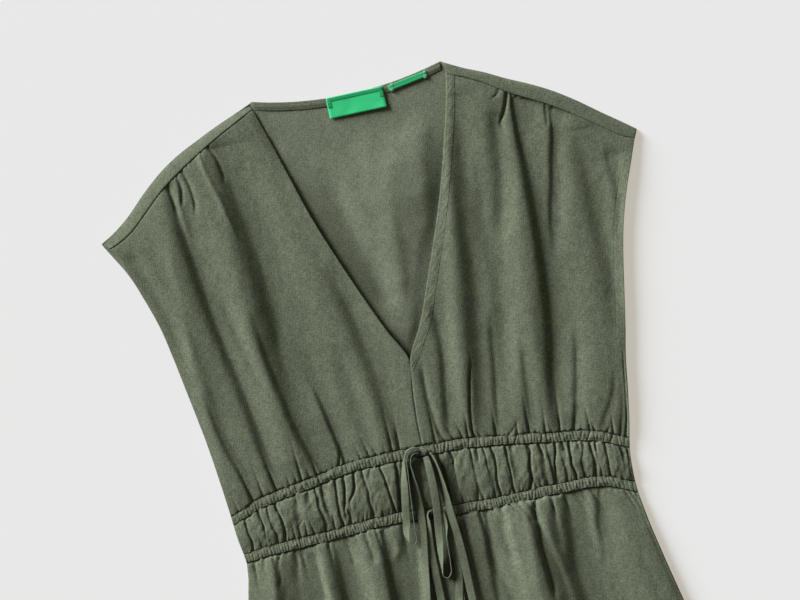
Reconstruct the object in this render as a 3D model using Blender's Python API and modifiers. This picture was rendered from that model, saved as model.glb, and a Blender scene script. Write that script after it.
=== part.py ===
"""Sleeveless V-neck dress in linen, laid flat on its back, as one solid for each sewn piece.

+Y points to the neck, +X to the wearer's left, +Z up. The back lies on Z = 0 and the front rests
on it, lofted over the air between them. The tables are in millimetres: "down" is measured from
the neck points towards the hem, and "x" from the centre line.
"""
import math
from collections import namedtuple

import bmesh
import bpy
import numpy as np
from mathutils import Matrix, Vector

MM = 0.001

# Overall sizes, in millimetres.
HEM_DOWN = 1008.3          # hem at the centre, below the neck points
HEM_RISE = 14.0            # the hem curves up by this much at the side seams
NECK_POINT_RISE = 1.7      # the neck points stand this much above "down" 0
NECK_HALF = 92.0           # half the width between the neck points
NECK_DIP = 10.5            # depth of the back neckline at the centre
ARMHOLE_TIP = 101.0        # "down" of the shoulder tips
BODY_MIDDLE = (HEM_DOWN - NECK_POINT_RISE) / 2

# Cloth.
BACK_WALL = 1.0
FRONT_WALL = 1.3
TRIM_WALL = 1.0
SEAM_GAP = 0.3
SEAM_HALF = SEAM_GAP / 2
EDGE_TOP = BACK_WALL + SEAM_GAP + FRONT_WALL
BODICE_LOFT = 9.0
SKIRT_LOFT = 9.2
WAIST_LOFT = 6.9
CASING_LOFT = 6.0
LOWEST_TOP = 3.0           # no fold presses the front lower than this

# How the front rises from each edge: the share of its loft at the edge, and how far in it grows.
Rise = namedtuple("Rise", "share reach")
SIDE_RISE = Rise(0.0, 20.0)
YOKE_SEAM_RISE = Rise(0.35, 30.0)
V_EDGE_RISE = Rise(0.42, 14.0)
BODICE_FOOT_RISE = Rise(0.55, 16.0)
SKIRT_TOP_RISE = Rise(0.45, 20.0)
HEM_RISE_IN = Rise(0.6, 25.0)
CASING_SIDE_RISE = Rise(0.0, 10.0)
WAIST_SIDE_RISE = Rise(0.0, 12.0)
V_EDGE_LEAD = 2.0          # the rise from the V starts this far outside its edge
FOLD_SIDE_REACH = 10.0     # folds grow to their depth over this distance from the side
FOLD_GROWTH = 4.0          # a fold has its whole depth a quarter of its length from its ends
FOLD_FADE = 6.0            # beyond its ends it fades over this distance
CASING_EDGE_SHARE = 0.72   # share of the loft at the edges of a casing
WAIST_EDGE_SHARE = 0.6     # and of the waist inset
CREASE_EDGE_SHARE = 0.45   # share of a crease's depth at the casings

# Trims.
CASING_WIDTH = 10.4
BINDING_WIDTH = 7.5
BINDING_DROP = 0.4         # the binding lies this far below the edge of the neckline
BINDING_END = NECK_HALF - 1.0
TAPE_WIDTH = 8.0
TAPE_WALL = 0.9
LABEL_WALL = 0.9

# Grid sizes.
BODICE_COLUMNS = 36
BODICE_ROWS = 13
YOKE_ROWS = 2
APEX_ROW = 3               # row of the bodice grid that meets the foot of the V
BAND_COLUMNS = 2           # the neck band covers this many columns of the bodice grid
SKIRT_COLUMNS = 40
SKIRT_ROWS = 12
SKIRT_ROW_SPACING = 0.75   # below 1, so that its rows are closer towards the waist
WAIST_ROWS = 4
CASING_ROWS = 2
PUCKERS = 58               # puckers across each casing front
BACK_COLUMNS = 20          # one count for all, so that their seams run together
BODICE_BACK_ROWS = 11
CASING_BACK_ROWS = 1
WAIST_BACK_ROWS = 2
SKIRT_BACK_ROWS = 5
NECK_SHARES = (0, 0.3, 0.7, 1)   # shares of the back's columns at the tips and neck points
BINDING_COLUMNS = 24
TAPE_STEPS = 26
KNOT_SEGMENTS = 12
KNOT_RINGS = 8

ROUGHNESS = 0.85
LINEN = (0.157, 0.180, 0.127)
LINEN_INSIDE = (0.140, 0.158, 0.112)
LABEL_GREEN = (0.035, 0.52, 0.20)
TAG_GREEN = (0.01, 0.27, 0.10)

# The outline below the shoulder tips: half widths on the wearer's right (-X) and left (+X).
Side = namedtuple("Side", "down right left")
SIDE = [
    Side(101, 259.5, 261.0),
    Side(115, 251.5, 254.5),
    Side(130, 243.0, 248.5),
    Side(160, 231.0, 237.0),
    Side(190, 221.5, 228.0),
    Side(220, 215.5, 221.5),
    Side(250, 210.5, 216.0),
    Side(280, 205.5, 210.5),
    Side(310, 201.0, 204.5),
    Side(340, 197.5, 200.0),
    Side(370, 194.5, 195.0),
    Side(400, 192.0, 189.5),
    Side(430, 188.5, 188.5),
    Side(460, 194.0, 192.0),
    Side(500, 202.0, 199.5),
    Side(547, 212.0, 209.5),
    Side(700, 243.5, 242.5),
    Side(995, 305.5, 305.5),
]

# The shoulder line and the forward seam under the yoke, as "down" against x on each side.
Shoulder = namedtuple("Shoulder", "x top_right top_left seam_right seam_left")
SHOULDER = [
    Shoulder(94, 0.0, 0.0, 6.0, 11.0),
    Shoulder(110, 6.5, 8.5, 14.0, 17.5),
    Shoulder(130, 14.5, 17.5, 24.0, 28.5),
    Shoulder(150, 23.5, 28.0, 35.0, 41.5),
    Shoulder(170, 33.0, 37.5, 47.0, 52.5),
    Shoulder(190, 45.5, 48.5, 60.5, 64.0),
    Shoulder(210, 62.0, 62.0, 78.0, 78.0),
    Shoulder(230, 81.0, 77.5, 95.5, 92.5),
    Shoulder(246, 93.0, 89.5, 104.0, 104.0),
    Shoulder(261, 101.5, 101.0, 109.0, 110.5),
]
SHOULDER_START = 94.2
YOKE_TIP_TOP = 259.3
YOKE_TIP_SEAM = 252.6
TIP_TURN = 8               # how late the front's side edge turns in to the tip of the yoke seam

# The inner edge of each front: the V neckline, then the centre front seam below its foot.
Front = namedtuple("Front", "down right left")
FRONT_EDGE = [
    Front(5, -93.0, 96.5),
    Front(40, -82.5, 89.0),
    Front(80, -71.0, 77.0),
    Front(120, -60.0, 64.0),
    Front(160, -45.5, 50.0),
    Front(200, -29.5, 35.5),
    Front(240, -12.0, 19.0),
    Front(268, 2.2, 5.2),
    Front(274, 3.1, 3.4),
    Front(300, 0.0, 0.3),
    Front(330, -2.0, -1.7),
    Front(352, -2.2, -1.9),
]
FRONT_FOOT = FRONT_EDGE[-1].down

# Middle lines of the two casings, as "down" against x.
Casing = namedtuple("Casing", "x upper lower")
CASINGS = [
    Casing(-193, 384.0, 422.5),
    Casing(-160, 372.5, 418.8),
    Casing(-120, 366.0, 418.0),
    Casing(-80, 359.0, 416.0),
    Casing(-40, 356.5, 414.2),
    Casing(0, 357.0, 417.0),
    Casing(40, 358.5, 419.3),
    Casing(80, 363.0, 419.5),
    Casing(120, 370.5, 419.5),
    Casing(160, 376.5, 421.5),
    Casing(193, 391.5, 435.0),
]
WAIST_LEVEL = 376.0        # the upper casing's mean level
CROSSING_TRIES = 12        # rounds that it takes to find where a line crosses the side edge

# The largest folds of the fronts. Each is a trough along its path of (down, x) points, with its
# soft half widths towards -X and +X and the share of its depth at its head and foot.
Fold = namedtuple("Fold", "depth minus plus head foot path")
BODICE_FOLDS = [
    Fold(4.6, 7, 11, 0.5, 0.6, ((34, -142), (60, -134), (100, -130), (180, -124), (260, -118.5),
                                (300, -118), (340, -108), (358, -99))),
    Fold(3.8, 7, 6, 0.6, 0.7, ((60, -187), (130, -180), (200, -171), (280, -161), (364, -146))),
    Fold(2.4, 5, 7, 0.0, 0.8, ((240, -101), (280, -87), (320, -82), (352, -78))),
    Fold(3.2, 8, 6, 0.0, 0.9, ((225, -40), (300, -33), (352, -24))),
    Fold(2.0, 7, 7, 0.0, 0.6, ((255, -62), (352, -54))),
    Fold(1.8, 6, 6, 0.0, 0.6, ((290, -188), (350, -174), (372, -170))),
    Fold(1.8, 5, 5, 0.9, 0.0, ((54, -171), (95, -172))),
    Fold(4.8, 8, 9, 0.5, 0.6, ((42, 149), (100, 149.5), (180, 147.5), (260, 138), (300, 134),
                               (352, 122), (366, 120))),
    Fold(4.6, 8, 11, 0.2, 0.8, ((60, 96), (100, 90), (150, 82), (190, 74), (260, 67), (300, 61),
                                (356, 52))),
    Fold(2.0, 7, 7, 0.3, 0.0, ((70, 126), (120, 120), (180, 112))),
    Fold(2.8, 5, 7, 0.8, 0.2, ((63, 187), (100, 181.5), (150, 172), (180, 168))),
    Fold(2.2, 5, 7, 0.0, 0.9, ((285, 113), (330, 104), (360, 100))),
    Fold(2.2, 5, 7, 0.0, 0.8, ((285, 159), (335, 149.5), (366, 143))),
    Fold(2.0, 6, 6, 0.2, 0.5, ((235, 33), (300, 28), (345, 24))),
    Fold(1.8, 5, 6, 0.0, 0.7, ((325, 186), (376, 178))),
]

# Skirt folds: x at the casing and at "down" 500, below which they follow the flare.
SkirtFold = namedtuple("SkirtFold", "seam_x low_x depth minus plus")
SKIRT_FOLD_LEVEL = 500.0
SKIRT_FOLDS = [
    SkirtFold(-163, -170, 2.2, 7, 7),
    SkirtFold(-137, -140, 2.6, 7, 7),
    SkirtFold(-110, -104, 4.0, 9, 12),
    SkirtFold(-62, -58, 3.2, 8, 10),
    SkirtFold(-36, -35, 3.4, 6, 6),
    SkirtFold(27, 27, 3.0, 6, 6),
    SkirtFold(92, 94, 5.0, 6, 12),
    SkirtFold(112, 113, 3.6, 10, 9),
    SkirtFold(149, 147, 2.6, 7, 7),
    SkirtFold(172, 178, 1.5, 6, 6),
]
HEM_FOLD_SHARE = 0.6       # share of a skirt fold's depth that is left at the hem

# Creases of the waist inset: x at the upper and lower casing, and share of the full depth.
Crease = namedtuple("Crease", "top_x foot_x share")
CREASES = [
    Crease(-181, -181, 1.0), Crease(-168, -169, 0.6), Crease(-157, -156, 0.5),
    Crease(-149, -147, 1.0), Crease(-139, -138, 0.5), Crease(-127, -129, 0.6),
    Crease(-111, -109, 1.0), Crease(-102, -101, 0.6), Crease(-92, -92, 1.0),
    Crease(-83, -84, 0.5), Crease(-72, -77, 0.7), Crease(-62, -61, 0.9),
    Crease(-48, -50, 0.5), Crease(-32, -35, 1.0), Crease(-17, -17, 0.4),
    Crease(-3, -3, 0.4), Crease(11, 13, 0.9), Crease(24, 25, 0.6),
    Crease(41, 42, 1.0), Crease(53, 51, 0.4), Crease(66, 61, 0.8),
    Crease(77, 73, 0.8), Crease(94, 91, 1.0), Crease(107, 112, 0.9),
    Crease(120, 121, 0.5), Crease(127, 128, 0.6), Crease(134.5, 135.5, 1.0),
    Crease(143, 143, 0.5), Crease(154, 153.5, 1.0), Crease(167, 166, 0.7),
    Crease(178, 177, 0.5),
]
CREASE_DEPTH = 2.0
PUCKER_DEPTH = 0.9

# The uneven spacing of the casings' puckers: waves of these sizes along them.
Stray = namedtuple("Stray", "size rate start")
STRAYS = (Stray(0.22, 1.7, 0.6), Stray(0.14, 4.1, 2.0))

# Drawstring tapes, from the knot outwards: place, height of the tape's middle, and tilt in degrees,
# 0 or 180 where the tape lies flat and 90 where it stands on its edge.
Run = namedtuple("Run", "x down z tilt")
KNOTS = {
    "knot_upper": Run(-1.5, 358.0, 8.9, 0),
    "knot_lower": Run(-1.0, 416.6, 8.8, 0),
}
KNOT_SIZE = (8.0, 7.6, 5.2)
KNOT_ROUNDNESS = 0.8       # 1 is an ellipsoid, and less is squarer
TAPES = {
    "loop_upper_left": [
        Run(-6.2, 354.0, 10.6, 84), Run(-10.5, 351.6, 10.9, 86), Run(-16.5, 353.2, 11.2, 86),
        Run(-21.0, 360, 11.2, 84), Run(-23.8, 371, 11.2, 66), Run(-26.4, 386, 10.8, 36),
        Run(-29.2, 403, 10.0, 16), Run(-31.8, 420, 10.2, 25), Run(-33.9, 432, 11.2, 62),
        Run(-32.6, 438.8, 11.8, 86), Run(-29.2, 441.2, 12.0, 90), Run(-26.1, 438.6, 12.0, 90),
        Run(-25.6, 430, 12.0, 90), Run(-24.7, 417, 11.6, 90), Run(-23.2, 402, 11.4, 90),
        Run(-21.7, 386, 11.4, 90), Run(-20.5, 372, 11.2, 90), Run(-18.5, 360.4, 11.0, 90),
        Run(-14.8, 355.4, 10.8, 88), Run(-10.2, 353.9, 10.6, 86), Run(-6.2, 356.0, 10.4, 84),
    ],
    "tail_upper_left": [
        Run(-6.2, 358.2, 10.4, 84), Run(-10.2, 357.0, 10.6, 86), Run(-14.0, 358.8, 10.8, 86),
        Run(-16.3, 364.5, 11.0, 82), Run(-17.3, 375, 10.8, 62), Run(-16.9, 389, 9.6, 26),
        Run(-16.7, 403, 9.4, 6), Run(-16.8, 414, 10.6, 0), Run(-17.4, 423, 12.2, 0),
        Run(-18.6, 433, 13.4, 2), Run(-20.6, 446, 13.8, 8), Run(-23.0, 462, 13.6, 20),
        Run(-25.2, 479, 14.2, 32), Run(-28.2, 496, 14.0, 26), Run(-32.0, 520, 12.8, 10),
        Run(-35.5, 545, 12.2, 2), Run(-37.0, 566, 12.0, 0),
    ],
    "loop_upper_right": [
        Run(-1.2, 362.4, 11.2, 20), Run(-0.4, 368, 12.2, 24), Run(0.2, 380, 13.2, 16),
        Run(0.1, 396, 14.4, 6), Run(-0.9, 412, 15.2, 4), Run(-2.8, 428, 15.4, 8),
        Run(-4.8, 444, 15.2, 24), Run(-6.8, 459, 14.8, 54), Run(-8.2, 469.5, 14.2, 80),
        Run(-7.9, 476.4, 14.2, 90), Run(-4.6, 478.6, 14.2, 90), Run(-1.0, 475.4, 14.2, 90),
        Run(0.8, 466, 14.2, 90), Run(1.6, 452, 14.2, 90), Run(2.0, 440, 13.9, 100),
        Run(2.8, 431, 13.3, 138), Run(2.4, 422, 13.2, 168), Run(1.4, 412, 13.1, 180),
        Run(0.9, 400, 12.4, 180), Run(0.8, 386, 10.6, 180), Run(0.4, 373, 9.2, 180),
        Run(-0.4, 362.6, 8.6, 180),
    ],
    "tail_upper_right": [
        Run(3.5, 359.6, 10.4, 70), Run(5.8, 364, 10.8, 72), Run(7.8, 374, 10.8, 68),
        Run(9.2, 388, 10.4, 52), Run(9.8, 402, 11.2, 30), Run(10.8, 418, 12.8, 10),
        Run(12.2, 434, 13.6, 0), Run(13.4, 452, 14.2, 0), Run(13.9, 470, 14.6, 0),
        Run(13.8, 488, 14.6, 4), Run(14.0, 505, 14.2, 10), Run(15.5, 527, 13.0, 6),
        Run(17.0, 552, 12.2, 0), Run(17.5, 578, 12.0, 0),
    ],
    "loop_lower_left": [
        Run(-5.6, 414.6, 10.2, 82), Run(-8.4, 413.6, 10.6, 86), Run(-11.0, 416.4, 10.8, 80),
        Run(-12.0, 423, 11.2, 44), Run(-13.4, 433, 11.8, 8), Run(-14.6, 446, 12.0, 0),
        Run(-15.0, 462, 12.7, 0), Run(-15.0, 480, 13.1, 0), Run(-15.2, 500, 13.2, 4),
        Run(-16.4, 515, 14.4, 40), Run(-17.0, 525, 14.8, 84), Run(-14.6, 529.6, 14.8, 90),
        Run(-11.9, 526, 14.6, 96), Run(-11.9, 516, 13.0, 140), Run(-13.2, 503, 11.9, 176),
        Run(-14.4, 485, 11.7, 180), Run(-14.6, 465, 11.3, 180), Run(-13.2, 447, 10.4, 180),
        Run(-9.6, 436, 9.6, 180), Run(-5.8, 426, 9.3, 180), Run(-3.9, 421.2, 9.2, 180),
    ],
    "tail_lower_left": [
        Run(-3.4, 421.2, 7.8, 0), Run(-8.4, 430, 8.0, 0), Run(-14.6, 441, 8.7, 0),
        Run(-20.2, 455, 9.6, 0), Run(-23.8, 471, 10.1, 0), Run(-26.4, 489, 10.3, 0),
        Run(-28.2, 511, 10.3, 0), Run(-29.2, 535, 10.3, 0), Run(-29.6, 556, 10.3, 0),
    ],
    "loop_lower_right": [
        Run(6.6, 417.0, 10.0, 0), Run(6.9, 422, 10.6, 0), Run(7.0, 432, 11.5, 4),
        Run(7.2, 446, 12.1, 2), Run(7.2, 460, 12.7, 2), Run(6.8, 474, 13.1, 6),
        Run(4.8, 487, 13.1, 4), Run(1.8, 500, 13.3, 8), Run(-1.2, 511, 14.8, 46),
        Run(-3.6, 518.6, 15.2, 84), Run(-3.2, 523.4, 15.2, 90), Run(0.0, 524.2, 15.0, 92),
        Run(2.0, 519, 14.0, 115), Run(2.8, 509, 12.9, 150), Run(4.2, 495, 11.9, 176),
        Run(6.4, 480, 11.7, 180), Run(7.2, 464, 11.4, 180), Run(7.0, 447, 10.7, 180),
        Run(5.8, 435, 9.8, 180), Run(3.4, 426, 9.3, 180), Run(2.5, 421.2, 9.2, 180),
    ],
    "tail_lower_right": [
        Run(2.9, 421.2, 7.7, 0), Run(6.0, 428, 7.8, 0), Run(11.0, 438, 8.5, 0),
        Run(14.8, 450, 9.2, 0), Run(16.8, 465, 10.0, 0), Run(17.6, 482, 10.3, 0),
        Run(19.2, 502, 10.3, 0), Run(22.0, 526, 10.3, 0), Run(24.4, 550, 10.3, 0),
        Run(25.4, 572, 10.3, 0),
    ],
}
KNOT_SQUEEZE = 0.72        # share of the tape's width where it leaves a knot
KNOT_SQUEEZE_REACH = 8.0

# Labels: middle, size and turn in degrees.
Label = namedtuple("Label", "x down width height turn")
LABELS = {
    "label_neck": Label(5.6, 20.0, 55.0, 20.0, 0.0),
    "label_fabric": Label(57.7, 10.2, 39.0, 5.6, 9.5),
}


# ---------------------------------------------------------------- reading the tables

def curve(at, knots, values):
    """A smooth curve through (knots, values), read at one place or at many."""
    at = np.clip(np.asarray(at, dtype=float), knots[0], knots[-1])
    knots = np.asarray(knots, dtype=float)
    values = np.asarray(values, dtype=float)
    slopes = np.gradient(values, knots)
    i = np.clip(np.searchsorted(knots, at) - 1, 0, len(knots) - 2)
    step = knots[i + 1] - knots[i]
    t = (at - knots[i]) / step
    start = (1 + 2 * t) * (1 - t) ** 2 * values[i] + t * (1 - t) ** 2 * step * slopes[i]
    end = t * t * (3 - 2 * t) * values[i + 1] + t * t * (t - 1) * step * slopes[i + 1]
    return start + end


def read(table, column, at):
    """A column of a table against its first column, on a smooth curve."""
    return curve(at, [row[0] for row in table], [getattr(row, column) for row in table])


def body_half(down, sign):
    """Half width of the body at a level, on the +X (sign 1) or -X (sign -1) side."""
    return read(SIDE, "left" if sign > 0 else "right", down)


def shoulder_line(x, line):
    """The "down" of the shoulder's top or seam line above any x."""
    x = np.asarray(x, dtype=float)
    plus = read(SHOULDER, line + "_left", np.abs(x))
    minus = read(SHOULDER, line + "_right", np.abs(x))
    return np.where(x > 0, plus, minus)


def back_top(x):
    """Top edge of the back: its neckline, and the shoulder line outside the neck points."""
    neckline = NECK_DIP - (NECK_DIP + NECK_POINT_RISE) * (np.asarray(x) / NECK_HALF) ** 2
    inside = np.abs(x) < (NECK_HALF + SHOULDER[0].x) / 2
    return np.where(inside, neckline, shoulder_line(x, "top"))


def casing_line(x, which, offset):
    """A line along a casing, offset towards the hem."""
    return read(CASINGS, which, x) + offset


def hem_line(x):
    """The hem, lowest at the centre."""
    half = SIDE[-1].left
    return HEM_DOWN - HEM_RISE * (np.asarray(x) / half) ** 2


def inner_edge(down, sign):
    """The V edge and centre front seam of one front, with half a seam gap on the seam."""
    return read(FRONT_EDGE, "left" if sign > 0 else "right", down) + sign * SEAM_HALF


# ---------------------------------------------------------------- heights

def soft(distance, reach):
    """0 at an edge, rising to 1 within a few reaches of it."""
    return 1 - np.exp(-np.maximum(distance, 0) / reach)


def grown(rise, distance):
    """The share of the loft at a distance from an edge."""
    return rise.share + (1 - rise.share) * soft(distance, rise.reach)


def arched(edge_share, v):
    """A share that is 1 half way across a strip and edge_share at its two long edges."""
    return edge_share + (1 - edge_share) * np.sin(np.pi * v)


def side_distance(x, down):
    """How far a place is from the nearer side edge."""
    return np.minimum(body_half(down, 1) - x, body_half(down, -1) + x)


def trough(x, middle, minus, plus):
    """The cross section of a fold: 1 on its middle line, 0 away from it."""
    away = x - middle
    return np.exp(-(away / np.where(away < 0, minus, plus)) ** 2)


def fold_depth(fold, x, down):
    """How far one bodice fold presses the cloth down at a place."""
    downs = [point[0] for point in fold.path]
    middle = curve(down, downs, [point[1] for point in fold.path])
    t = np.clip((down - downs[0]) / (downs[-1] - downs[0]), 0, 1)
    growing = fold.head + FOLD_GROWTH * t
    ending = fold.foot + FOLD_GROWTH * (1 - t)
    strength = np.minimum(1, np.minimum(growing, ending))
    outside = np.maximum(np.maximum(downs[0] - down, down - downs[-1]), 0)
    depth = fold.depth * strength * np.exp(-outside / FOLD_FADE)
    return depth * trough(x, middle, fold.minus, fold.plus)


def pressed(loft, rise, folds):
    """The top of a front from its loft, its rise from the edges and the depth of its folds."""
    top = EDGE_TOP + (loft - EDGE_TOP) * rise
    return np.maximum(top - folds, between(EDGE_TOP, LOWEST_TOP, rise))


def bodice_height(x, down):
    """Top of a bodice front: lofted, lower at every edge, with its folds."""
    sign = 1 if np.mean(x) > 0 else -1
    rise = grown(SIDE_RISE, side_distance(x, down))
    rise = rise * grown(YOKE_SEAM_RISE, down - shoulder_line(x, "seam"))
    rise = rise * grown(V_EDGE_RISE, sign * (x - inner_edge(down, sign)) + V_EDGE_LEAD)
    rise = rise * grown(BODICE_FOOT_RISE, upper_top(x) - down)
    folds = sum(fold_depth(fold, x, down) for fold in BODICE_FOLDS)
    return pressed(BODICE_LOFT, rise, folds * soft(side_distance(x, down), FOLD_SIDE_REACH))


def skirt_height(x, down):
    """Top of the skirt front, whose folds open out with the flare."""
    seam = lower_foot(x)
    rise = grown(SIDE_RISE, side_distance(x, down)) * grown(SKIRT_TOP_RISE, down - seam)
    rise = rise * grown(HEM_RISE_IN, hem_line(x) - down)
    flare = np.maximum(body_half(down, 1) / body_half(SKIRT_FOLD_LEVEL, 1), 1)
    t = np.clip((down - seam) / (SKIRT_FOLD_LEVEL - seam), 0, 1)
    fade = 1 - (1 - HEM_FOLD_SHARE) * np.clip((down - SKIRT_FOLD_LEVEL)
                                              / (HEM_DOWN - SKIRT_FOLD_LEVEL), 0, 1)
    folds = 0
    for fold in SKIRT_FOLDS:
        middle = (fold.seam_x + (fold.low_x - fold.seam_x) * t) * flare
        folds = folds + fold.depth * trough(x, middle, fold.minus * flare, fold.plus * flare)
    return pressed(SKIRT_LOFT, rise, folds * fade * rise)


# ---------------------------------------------------------------- building

def clear_scene():
    for old in list(bpy.data.objects):
        bpy.data.objects.remove(old, do_unlink=True)


def make_material(name, colour):
    material = bpy.data.materials.new(name)
    material.use_nodes = True
    shader = material.node_tree.nodes["Principled BSDF"]
    shader.inputs["Base Color"].default_value = (*colour, 1)
    shader.inputs["Roughness"].default_value = ROUGHNESS
    shader.inputs["Metallic"].default_value = 0
    return material


def world(x, down, z):
    """A table's place, in metres about the middle of the dress."""
    return Vector((x, BODY_MIDDLE - down, z)) * MM


def add_mesh(name, bm, colour):
    mesh = bpy.data.meshes.new(name)
    bm.to_mesh(mesh)
    bm.free()
    mesh.shade_smooth()
    mesh.materials.append(make_material(name, colour))
    piece = bpy.data.objects.new(name, mesh)
    dress.objects.link(piece)
    return piece


def cloth(name, colour, us, vs, place, wall, offset=-1):
    """A sheet of cloth: a grid on us x vs, set out by place(u, v), with its wall from Solidify.

    place takes arrays and returns x, down and the height of the top face.
    """
    bm = bmesh.new()
    columns = len(us) - 1
    rows = len(vs) - 1
    bmesh.ops.create_grid(bm, x_segments=columns, y_segments=rows, size=1)
    column = np.array([round((v.co.x + 1) / 2 * columns) for v in bm.verts])
    row = np.array([round((v.co.y + 1) / 2 * rows) for v in bm.verts])
    x, down, z = place(np.asarray(us)[column], np.asarray(vs)[row])
    for vert, *point in zip(bm.verts, x, down, z):
        vert.co = world(*point)
    bmesh.ops.recalc_face_normals(bm, faces=bm.faces)
    if sum(face.normal.z for face in bm.faces) < 0:
        bmesh.ops.reverse_faces(bm, faces=bm.faces)
    piece = add_mesh(name, bm, colour)
    solidify = piece.modifiers.new("wall", "SOLIDIFY")
    solidify.thickness = wall * MM
    solidify.offset = offset
    return piece


def between(start, end, t):
    return start + (end - start) * t


def patch(minus, plus, foot, head):
    """A grid between four edges, each a function of 0..1 that gives x and down."""
    corner = [[np.array(foot(u)) if v == 0 else np.array(head(u)) for v in (0, 1)]
              for u in (0, 1)]

    def place(u, v):
        sides = (1 - u) * np.array(minus(v)) + u * np.array(plus(v))
        ends = (1 - v) * np.array(foot(u)) + v * np.array(head(u))
        corners = sum(
            (u if i else 1 - u) * (v if j else 1 - v) * corner[i][j][:, None]
            for i in (0, 1) for j in (0, 1))
        return sides + ends - corners

    return place


def side_edge(sign, foot_down, head_down):
    """A body edge between two levels, from the lower one up."""
    def edge(v):
        down = between(foot_down, head_down, np.asarray(v, dtype=float))
        return sign * body_half(down, sign), down
    return edge


def line_edge(start_x, end_x, line):
    """An edge along a line that gives "down" for x."""
    def edge(u):
        x = between(start_x, end_x, np.asarray(u, dtype=float))
        return x, line(x)
    return edge


def meet_side(sign, line):
    """Where a line that crosses the body reaches its side edge."""
    down = WAIST_LEVEL
    for _ in range(CROSSING_TRIES):
        down = float(line(sign * body_half(down, sign)))
    return sign * float(body_half(down, sign)), down


def band_patch(line_above, line_below):
    """A strip across the whole body between two lines, with its sides on the outline."""
    ends = {(sign, line): meet_side(sign, line) for sign in (-1, 1)
            for line in (line_above, line_below)}
    return patch(
        side_edge(-1, ends[-1, line_below][1], ends[-1, line_above][1]),
        side_edge(1, ends[1, line_below][1], ends[1, line_above][1]),
        line_edge(ends[-1, line_below][0], ends[1, line_below][0], line_below),
        line_edge(ends[-1, line_above][0], ends[1, line_above][0], line_above))


def upper_top(x):
    return casing_line(x, "upper", -CASING_WIDTH / 2)


def upper_foot(x):
    return casing_line(x, "upper", CASING_WIDTH / 2)


def lower_top(x):
    return casing_line(x, "lower", -CASING_WIDTH / 2)


def lower_foot(x):
    return casing_line(x, "lower", CASING_WIDTH / 2)


def shifted(line, amount):
    return lambda x: line(x) + amount


# ---------------------------------------------------------------- the back

def build_flat(name, rows, place):
    """A piece of the back: flat on the surface, with its inside face up."""
    def flat(u, v):
        x, down = place(u, v)
        return x, down, np.full_like(x, BACK_WALL)
    cloth(name, LINEN_INSIDE, np.linspace(0, 1, BACK_COLUMNS + 1), np.linspace(0, 1, rows + 1),
          flat, BACK_WALL)


def build_back():
    foot = shifted(upper_top, -SEAM_HALF)
    ends = {sign: meet_side(sign, foot) for sign in (-1, 1)}
    tip = {sign: sign * float(body_half(ARMHOLE_TIP, sign)) for sign in (-1, 1)}
    tops = (tip[-1], -NECK_HALF, NECK_HALF, tip[1])

    def head(u):
        x = np.interp(u, NECK_SHARES, tops)
        return x, back_top(x)

    bodice = patch(side_edge(-1, ends[-1][1], ARMHOLE_TIP), side_edge(1, ends[1][1], ARMHOLE_TIP),
                   line_edge(ends[-1][0], ends[1][0], foot), head)
    build_flat("bodice_back", BODICE_BACK_ROWS, bodice)
    for name, rows, top, low in (("casing_upper_back", CASING_BACK_ROWS, upper_top, upper_foot),
                                 ("waist_back", WAIST_BACK_ROWS, upper_foot, lower_top),
                                 ("casing_lower_back", CASING_BACK_ROWS, lower_top, lower_foot)):
        build_flat(name, rows, band_patch(shifted(top, SEAM_HALF), shifted(low, -SEAM_HALF)))
    build_flat("skirt_back", SKIRT_BACK_ROWS, skirt_patch())


def build_binding():
    """A narrow strip round the inside of the back neckline."""
    def place(u, v):
        x = between(-BINDING_END, BINDING_END, u)
        down = back_top(x) + BINDING_DROP + BINDING_WIDTH * (1 - v)
        return x, down, np.full_like(x, BACK_WALL + SEAM_GAP + TRIM_WALL)
    cloth("back_neck_binding", LINEN, np.linspace(0, 1, BINDING_COLUMNS + 1),
          np.linspace(0, 1, 2), place, TRIM_WALL)


# ---------------------------------------------------------------- the front

def yoke_seam_start(sign):
    """x where the yoke seam meets the V edge."""
    return float(inner_edge(shoulder_line(sign * SHOULDER[0].x, "seam"), sign))


def bodice_patch(sign):
    """One front, from centre front to side seam and from the casing up to the yoke seam."""
    foot_line = shifted(upper_top, -SEAM_HALF)
    head_line = shifted(lambda x: shoulder_line(x, "seam"), SEAM_GAP)
    foot_outer_x, foot_outer_down = meet_side(sign, foot_line)
    foot_inner_x = float(inner_edge(FRONT_FOOT, sign))
    foot_inner_down = float(foot_line(foot_inner_x))
    head_inner_x = yoke_seam_start(sign)
    head_inner_down = float(head_line(head_inner_x))
    head_outer_x = sign * YOKE_TIP_SEAM
    head_outer_down = float(head_line(head_outer_x))

    def inner(v):
        down = between(foot_inner_down, head_inner_down, np.asarray(v, dtype=float))
        return inner_edge(down, sign), down

    def outer(v):
        down = between(foot_outer_down, head_outer_down, np.asarray(v, dtype=float))
        turn_in = head_outer_x - sign * body_half(head_outer_down, sign)
        return sign * body_half(down, sign) + turn_in * v ** TIP_TURN, down

    foot = line_edge(foot_inner_x, foot_outer_x, foot_line)
    head = line_edge(head_inner_x, head_outer_x, head_line)
    return patch(inner, outer, foot, head)


def build_fronts():
    columns = np.linspace(0, 1, BODICE_COLUMNS + 1)
    rows = np.linspace(0, 1, BODICE_ROWS + 1)
    for sign, side in ((1, "left"), (-1, "right")):
        shape = bodice_patch(sign)

        def place(u, v):
            x, down = shape(u, v)
            return x, down, bodice_height(x, down)

        def on_panel(u, v):
            x, down, z = place(u, v)
            return x, down, z + SEAM_GAP + TRIM_WALL

        cloth("bodice_front_" + side, LINEN, columns, rows, place, FRONT_WALL)
        cloth("neck_band_" + side, LINEN, columns[:BAND_COLUMNS + 1], rows[APEX_ROW:], on_panel,
              TRIM_WALL)


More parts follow.
